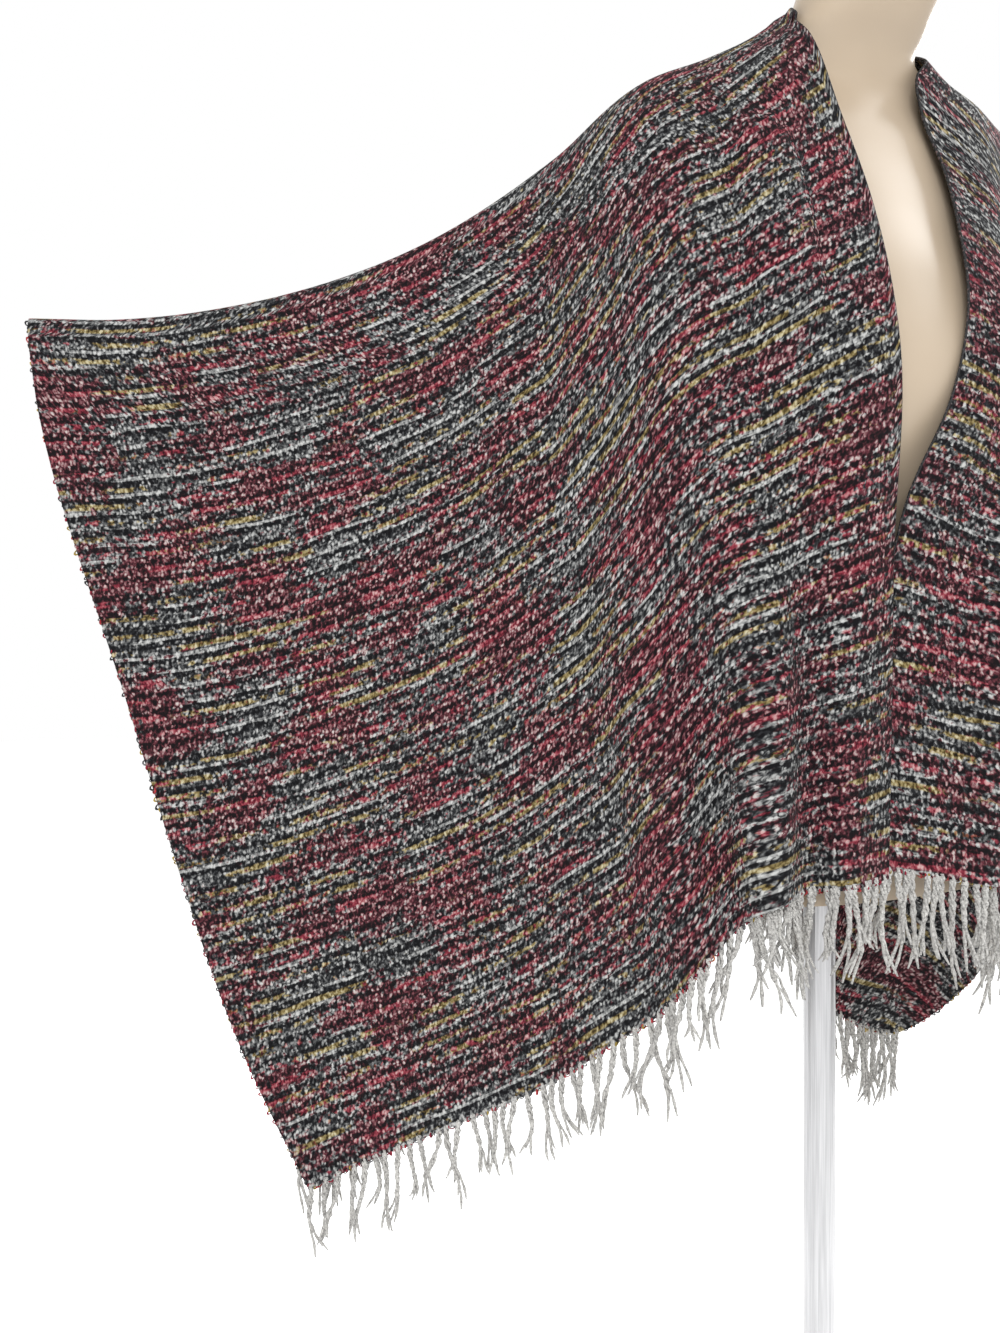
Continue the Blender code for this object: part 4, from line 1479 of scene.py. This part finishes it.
# The thread's colour follows the curls' light: painted shade in the gaps, painted highlight on tops
thread = colour_rows(
    tree,
    stitch_light,
    ((0.40, BLACK), (0.66, CHARCOAL), (0.90, (0.11, 0.07, 0.07, 1))),
    "LINEAR",
)
joined(tree, thread, shader.inputs["Base Color"])
bumped(tree, shader, stitch_height, 0.9, 0.0010)
overlock.data.materials.clear()
overlock.data.materials.append(overlock_thread)

loop_yarn, tree, shader = new_material("Dyed selvage yarn", CRIMSON, 0.85)
tone = node_in(tree, "ShaderNodeAttribute", attribute_name="tone")
loop_colour = colour_rows(
    tree,
    tone.outputs["Fac"],
    (
        (0.00, CHARCOAL),
        (0.34, CRIMSON),
        (0.58, GREY),
        (0.72, SCARLET),
        (0.84, MUSTARD),
        (0.92, ORANGE),
        (0.96, PALE),
    ),
)
fluff_light, fluff_height = fluffy(tree, 0.0012)
in_shade = step_at(tree, fluff_light, 0.75, 0.20)
joined(
    tree,
    mixed(tree, sum_of(tree, "MULTIPLY", in_shade, 0.6), loop_colour, BLACK),
    shader.inputs["Base Color"],
)
bumped(tree, shader, fluff_height, 0.7, 0.0005)
for made in (selvage, hem_weft):
    made.data.materials.append(loop_yarn)
print("edge finishes:", overlock_thread.name, "and", loop_yarn.name)

# %% [markdown]
# ## Form and stand
# The form has a satin skin, a little more polished where hands and cloth rub it. The stand is brushed
# steel, and its shape is right in the solid model, so it keeps its mesh and only gets its finish
# here. The solid model's points are loose triangles, so patterns read the object's own coordinates.

# %% Fine grain
# The form, the steel and the floor all have a fine grain and broad, faint patches of wear
grain, grain_in, grain_out = group_named(
    "Fine grain and wear",
    [
        ("Place", "NodeSocketVector", None),
        ("Grains per metre", "NodeSocketVector", (420.0, 420.0, 420.0)),
        ("Patches per metre", "NodeSocketFloat", 9.0),
    ],
    [("Grain", "NodeSocketFloat"), ("Wear", "NodeSocketFloat")],
)
in_grains = node_in(grain, "ShaderNodeVectorMath", operation="MULTIPLY")
joined(grain, grain_in.outputs["Place"], in_grains.inputs[0])
joined(grain, grain_in.outputs["Grains per metre"], in_grains.inputs[1])
fine_noise = node_in(grain, "ShaderNodeTexNoise")
fine_noise.inputs["Scale"].default_value = 1.0
fine_noise.inputs["Detail"].default_value = 2.0
joined(grain, in_grains.outputs[0], fine_noise.inputs["Vector"])
broad_noise = node_in(grain, "ShaderNodeTexNoise")
broad_noise.inputs["Detail"].default_value = 3.0
joined(grain, grain_in.outputs["Place"], broad_noise.inputs["Vector"])
joined(grain, grain_in.outputs["Patches per metre"], broad_noise.inputs["Scale"])
joined(grain, fine_noise.outputs["Fac"], grain_out.inputs["Grain"])
joined(grain, broad_noise.outputs["Fac"], grain_out.inputs["Wear"])


def grained(tree, grains, patches):
    """The grain at the object's own place, with its size in each direction."""
    where = node_in(tree, "ShaderNodeTexCoord")
    made = node_in(tree, "ShaderNodeGroup", node_tree=grain)
    made.inputs["Grains per metre"].default_value = grains
    made.inputs["Patches per metre"].default_value = patches
    joined(tree, where.outputs["Object"], made.inputs["Place"])
    return made.outputs["Grain"], made.outputs["Wear"]


def between_values(tree, value, low, high):
    """A number from low to high as the value goes from 0.3 to 0.7."""
    made = node_in(tree, "ShaderNodeMapRange")
    made.inputs["From Min"].default_value = 0.3
    made.inputs["From Max"].default_value = 0.7
    made.inputs["To Min"].default_value = low
    made.inputs["To Max"].default_value = high
    joined(tree, value, made.inputs["Value"])
    return made.outputs["Result"]


print("grain in", len(grain.nodes), "nodes")

# %% Satin form
form_skin, tree, shader = new_material("Satin moulded form", (0.46, 0.37, 0.275, 1), 0.34)
shader.inputs["Specular IOR Level"].default_value = 0.45
peel, rubbed = grained(tree, (420.0, 420.0, 420.0), 9.0)
skin = colour_rows(
    tree,
    rubbed,
    ((0.35, (0.440, 0.352, 0.258, 1)), (0.65, (0.475, 0.385, 0.288, 1))),
    "LINEAR",
)
joined(tree, skin, shader.inputs["Base Color"])
joined(tree, between_values(tree, rubbed, 0.28, 0.42), shader.inputs["Roughness"])
bumped(tree, shader, peel, 0.10, 0.0003)
dress_form.data.materials.clear()
dress_form.data.materials.append(form_skin)
print("form finish:", form_skin.name)


# %% Brushed steel stand
def finished(node, finish):
    """A shown node of the solid model with its finish in every material slot."""
    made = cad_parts[node]
    if not made.material_slots:
        made.data.materials.append(finish)
    for slot in made.material_slots:
        slot.material = finish


steel, tree, shader = new_material("Brushed steel stand", (0.60, 0.60, 0.61, 1), 0.32, 1.0)
scratches, dulled = grained(tree, (900.0, 900.0, 14.0), 6.0)
steel_tone = colour_rows(
    tree,
    scratches,
    ((0.3, (0.42, 0.42, 0.43, 1)), (0.7, (0.58, 0.58, 0.59, 1))),
    "LINEAR",
)
joined(tree, steel_tone, shader.inputs["Base Color"])
joined(tree, between_values(tree, dulled, 0.26, 0.44), shader.inputs["Roughness"])
bumped(tree, shader, scratches, 0.08, 0.0003)
for part in ("pole_collar", "stand_pole", "stand_base"):
    finished(part, steel)
print("stand finish:", steel.name)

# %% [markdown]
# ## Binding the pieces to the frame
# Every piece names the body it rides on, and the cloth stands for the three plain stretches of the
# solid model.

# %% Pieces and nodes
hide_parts("front_held_out", "front_falling", "back")
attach(cloth, "root")
for node, made in yarn_fringes.items():
    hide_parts(node)
    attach(made, "root")
for made in (overlock, selvage, hem_weft):
    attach(made, "root")
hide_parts("torso_form")
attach(dress_form, "root")
print("pieces bound:", 5 + len(yarn_fringes))

# %% [markdown]
# ## Studio
# The photograph is cut out on white, so the floor and the surroundings are plain and pale. One large
# soft light hangs in front and to the left, one to the right, and a weaker one behind. The camera
# stands close, level with the cloth's middle, as the photograph's was.

# %% Floor
# The floor shines faintly, as a lit white sweep does, so that no horizon shows
WORLD_LIGHT = 0.68
bpy.ops.object.select_all(action="DESELECT")
bpy.ops.mesh.primitive_plane_add(size=30, location=(0, 0, 0))
floor = bpy.context.object
floor.name = "studio_floor"
floor_paint, tree, shader = new_material("Pale studio floor", (0.93, 0.93, 0.925, 1), 0.9)
shader.inputs["Specular IOR Level"].default_value = 0.1
smooth, scuffed = grained(tree, (260.0, 260.0, 260.0), 2.0)
paint = colour_rows(
    tree, scuffed, ((0.3, (0.925, 0.925, 0.92, 1)), (0.7, (0.94, 0.94, 0.935, 1))), "LINEAR"
)
joined(tree, paint, shader.inputs["Base Color"])
bumped(tree, shader, smooth, 0.05, 0.0003)
shader.inputs["Emission Color"].default_value = (1.0, 1.0, 1.0, 1)
shader.inputs["Emission Strength"].default_value = 0.42
floor.data.materials.append(floor_paint)
world = bpy.data.worlds.new("Pale studio")
bpy.context.scene.world = world
world.use_nodes = True
surroundings = world.node_tree
sky = surroundings.nodes["Background"]
sky.inputs["Color"].default_value = (1.0, 1.0, 1.0, 1)
seen_directly = node_in(surroundings, "ShaderNodeLightPath").outputs["Is Camera Ray"]
joined(
    surroundings,
    sum_of(surroundings, "MULTIPLY_ADD", seen_directly, 1.0 - WORLD_LIGHT, WORLD_LIGHT),
    sky.inputs["Strength"],
)
print("floor and surroundings are set")


# %% Lights
def soft_light(name, place, aimed_at, size, power):
    """A square soft light at a place, turned to what it lights."""
    lamp = bpy.data.lights.new(name, "AREA")
    lamp.shape = "SQUARE"
    lamp.size = size
    lamp.energy = power
    made = bpy.data.objects.new(name, lamp)
    bpy.context.scene.collection.objects.link(made)
    made.location = place
    away = np.array(aimed_at) - np.array(place)
    pitch = math.atan2(math.hypot(away[0], away[1]), -away[2])
    made.rotation_euler = (pitch, 0, math.atan2(away[1], away[0]) - math.pi / 2)


soft_light("key", (-1.7, -2.0, 2.5), (0, 0, 1.1), 1.5, 60)
soft_light("side", (1.9, 0.2, 2.4), (0.1, 0, 1.1), 1.4, 60)
soft_light("back", (0.2, 2.3, 2.2), (0, 0, 1.1), 1.4, 26)
print("three soft lights")

# %% Camera
lens = bpy.data.cameras.new("photograph")
lens.lens = 29.8
lens.sensor_width = 36
camera = bpy.data.objects.new("photograph", lens)
bpy.context.scene.collection.objects.link(camera)
camera.location = (-0.627, -0.624, 0.98)
camera.rotation_euler = (math.radians(90), 0, math.radians(-29))
bpy.context.scene.camera = camera
bpy.context.scene.view_settings.view_transform = "Standard"
print("camera", tuple(round(value, 3) for value in camera.location))
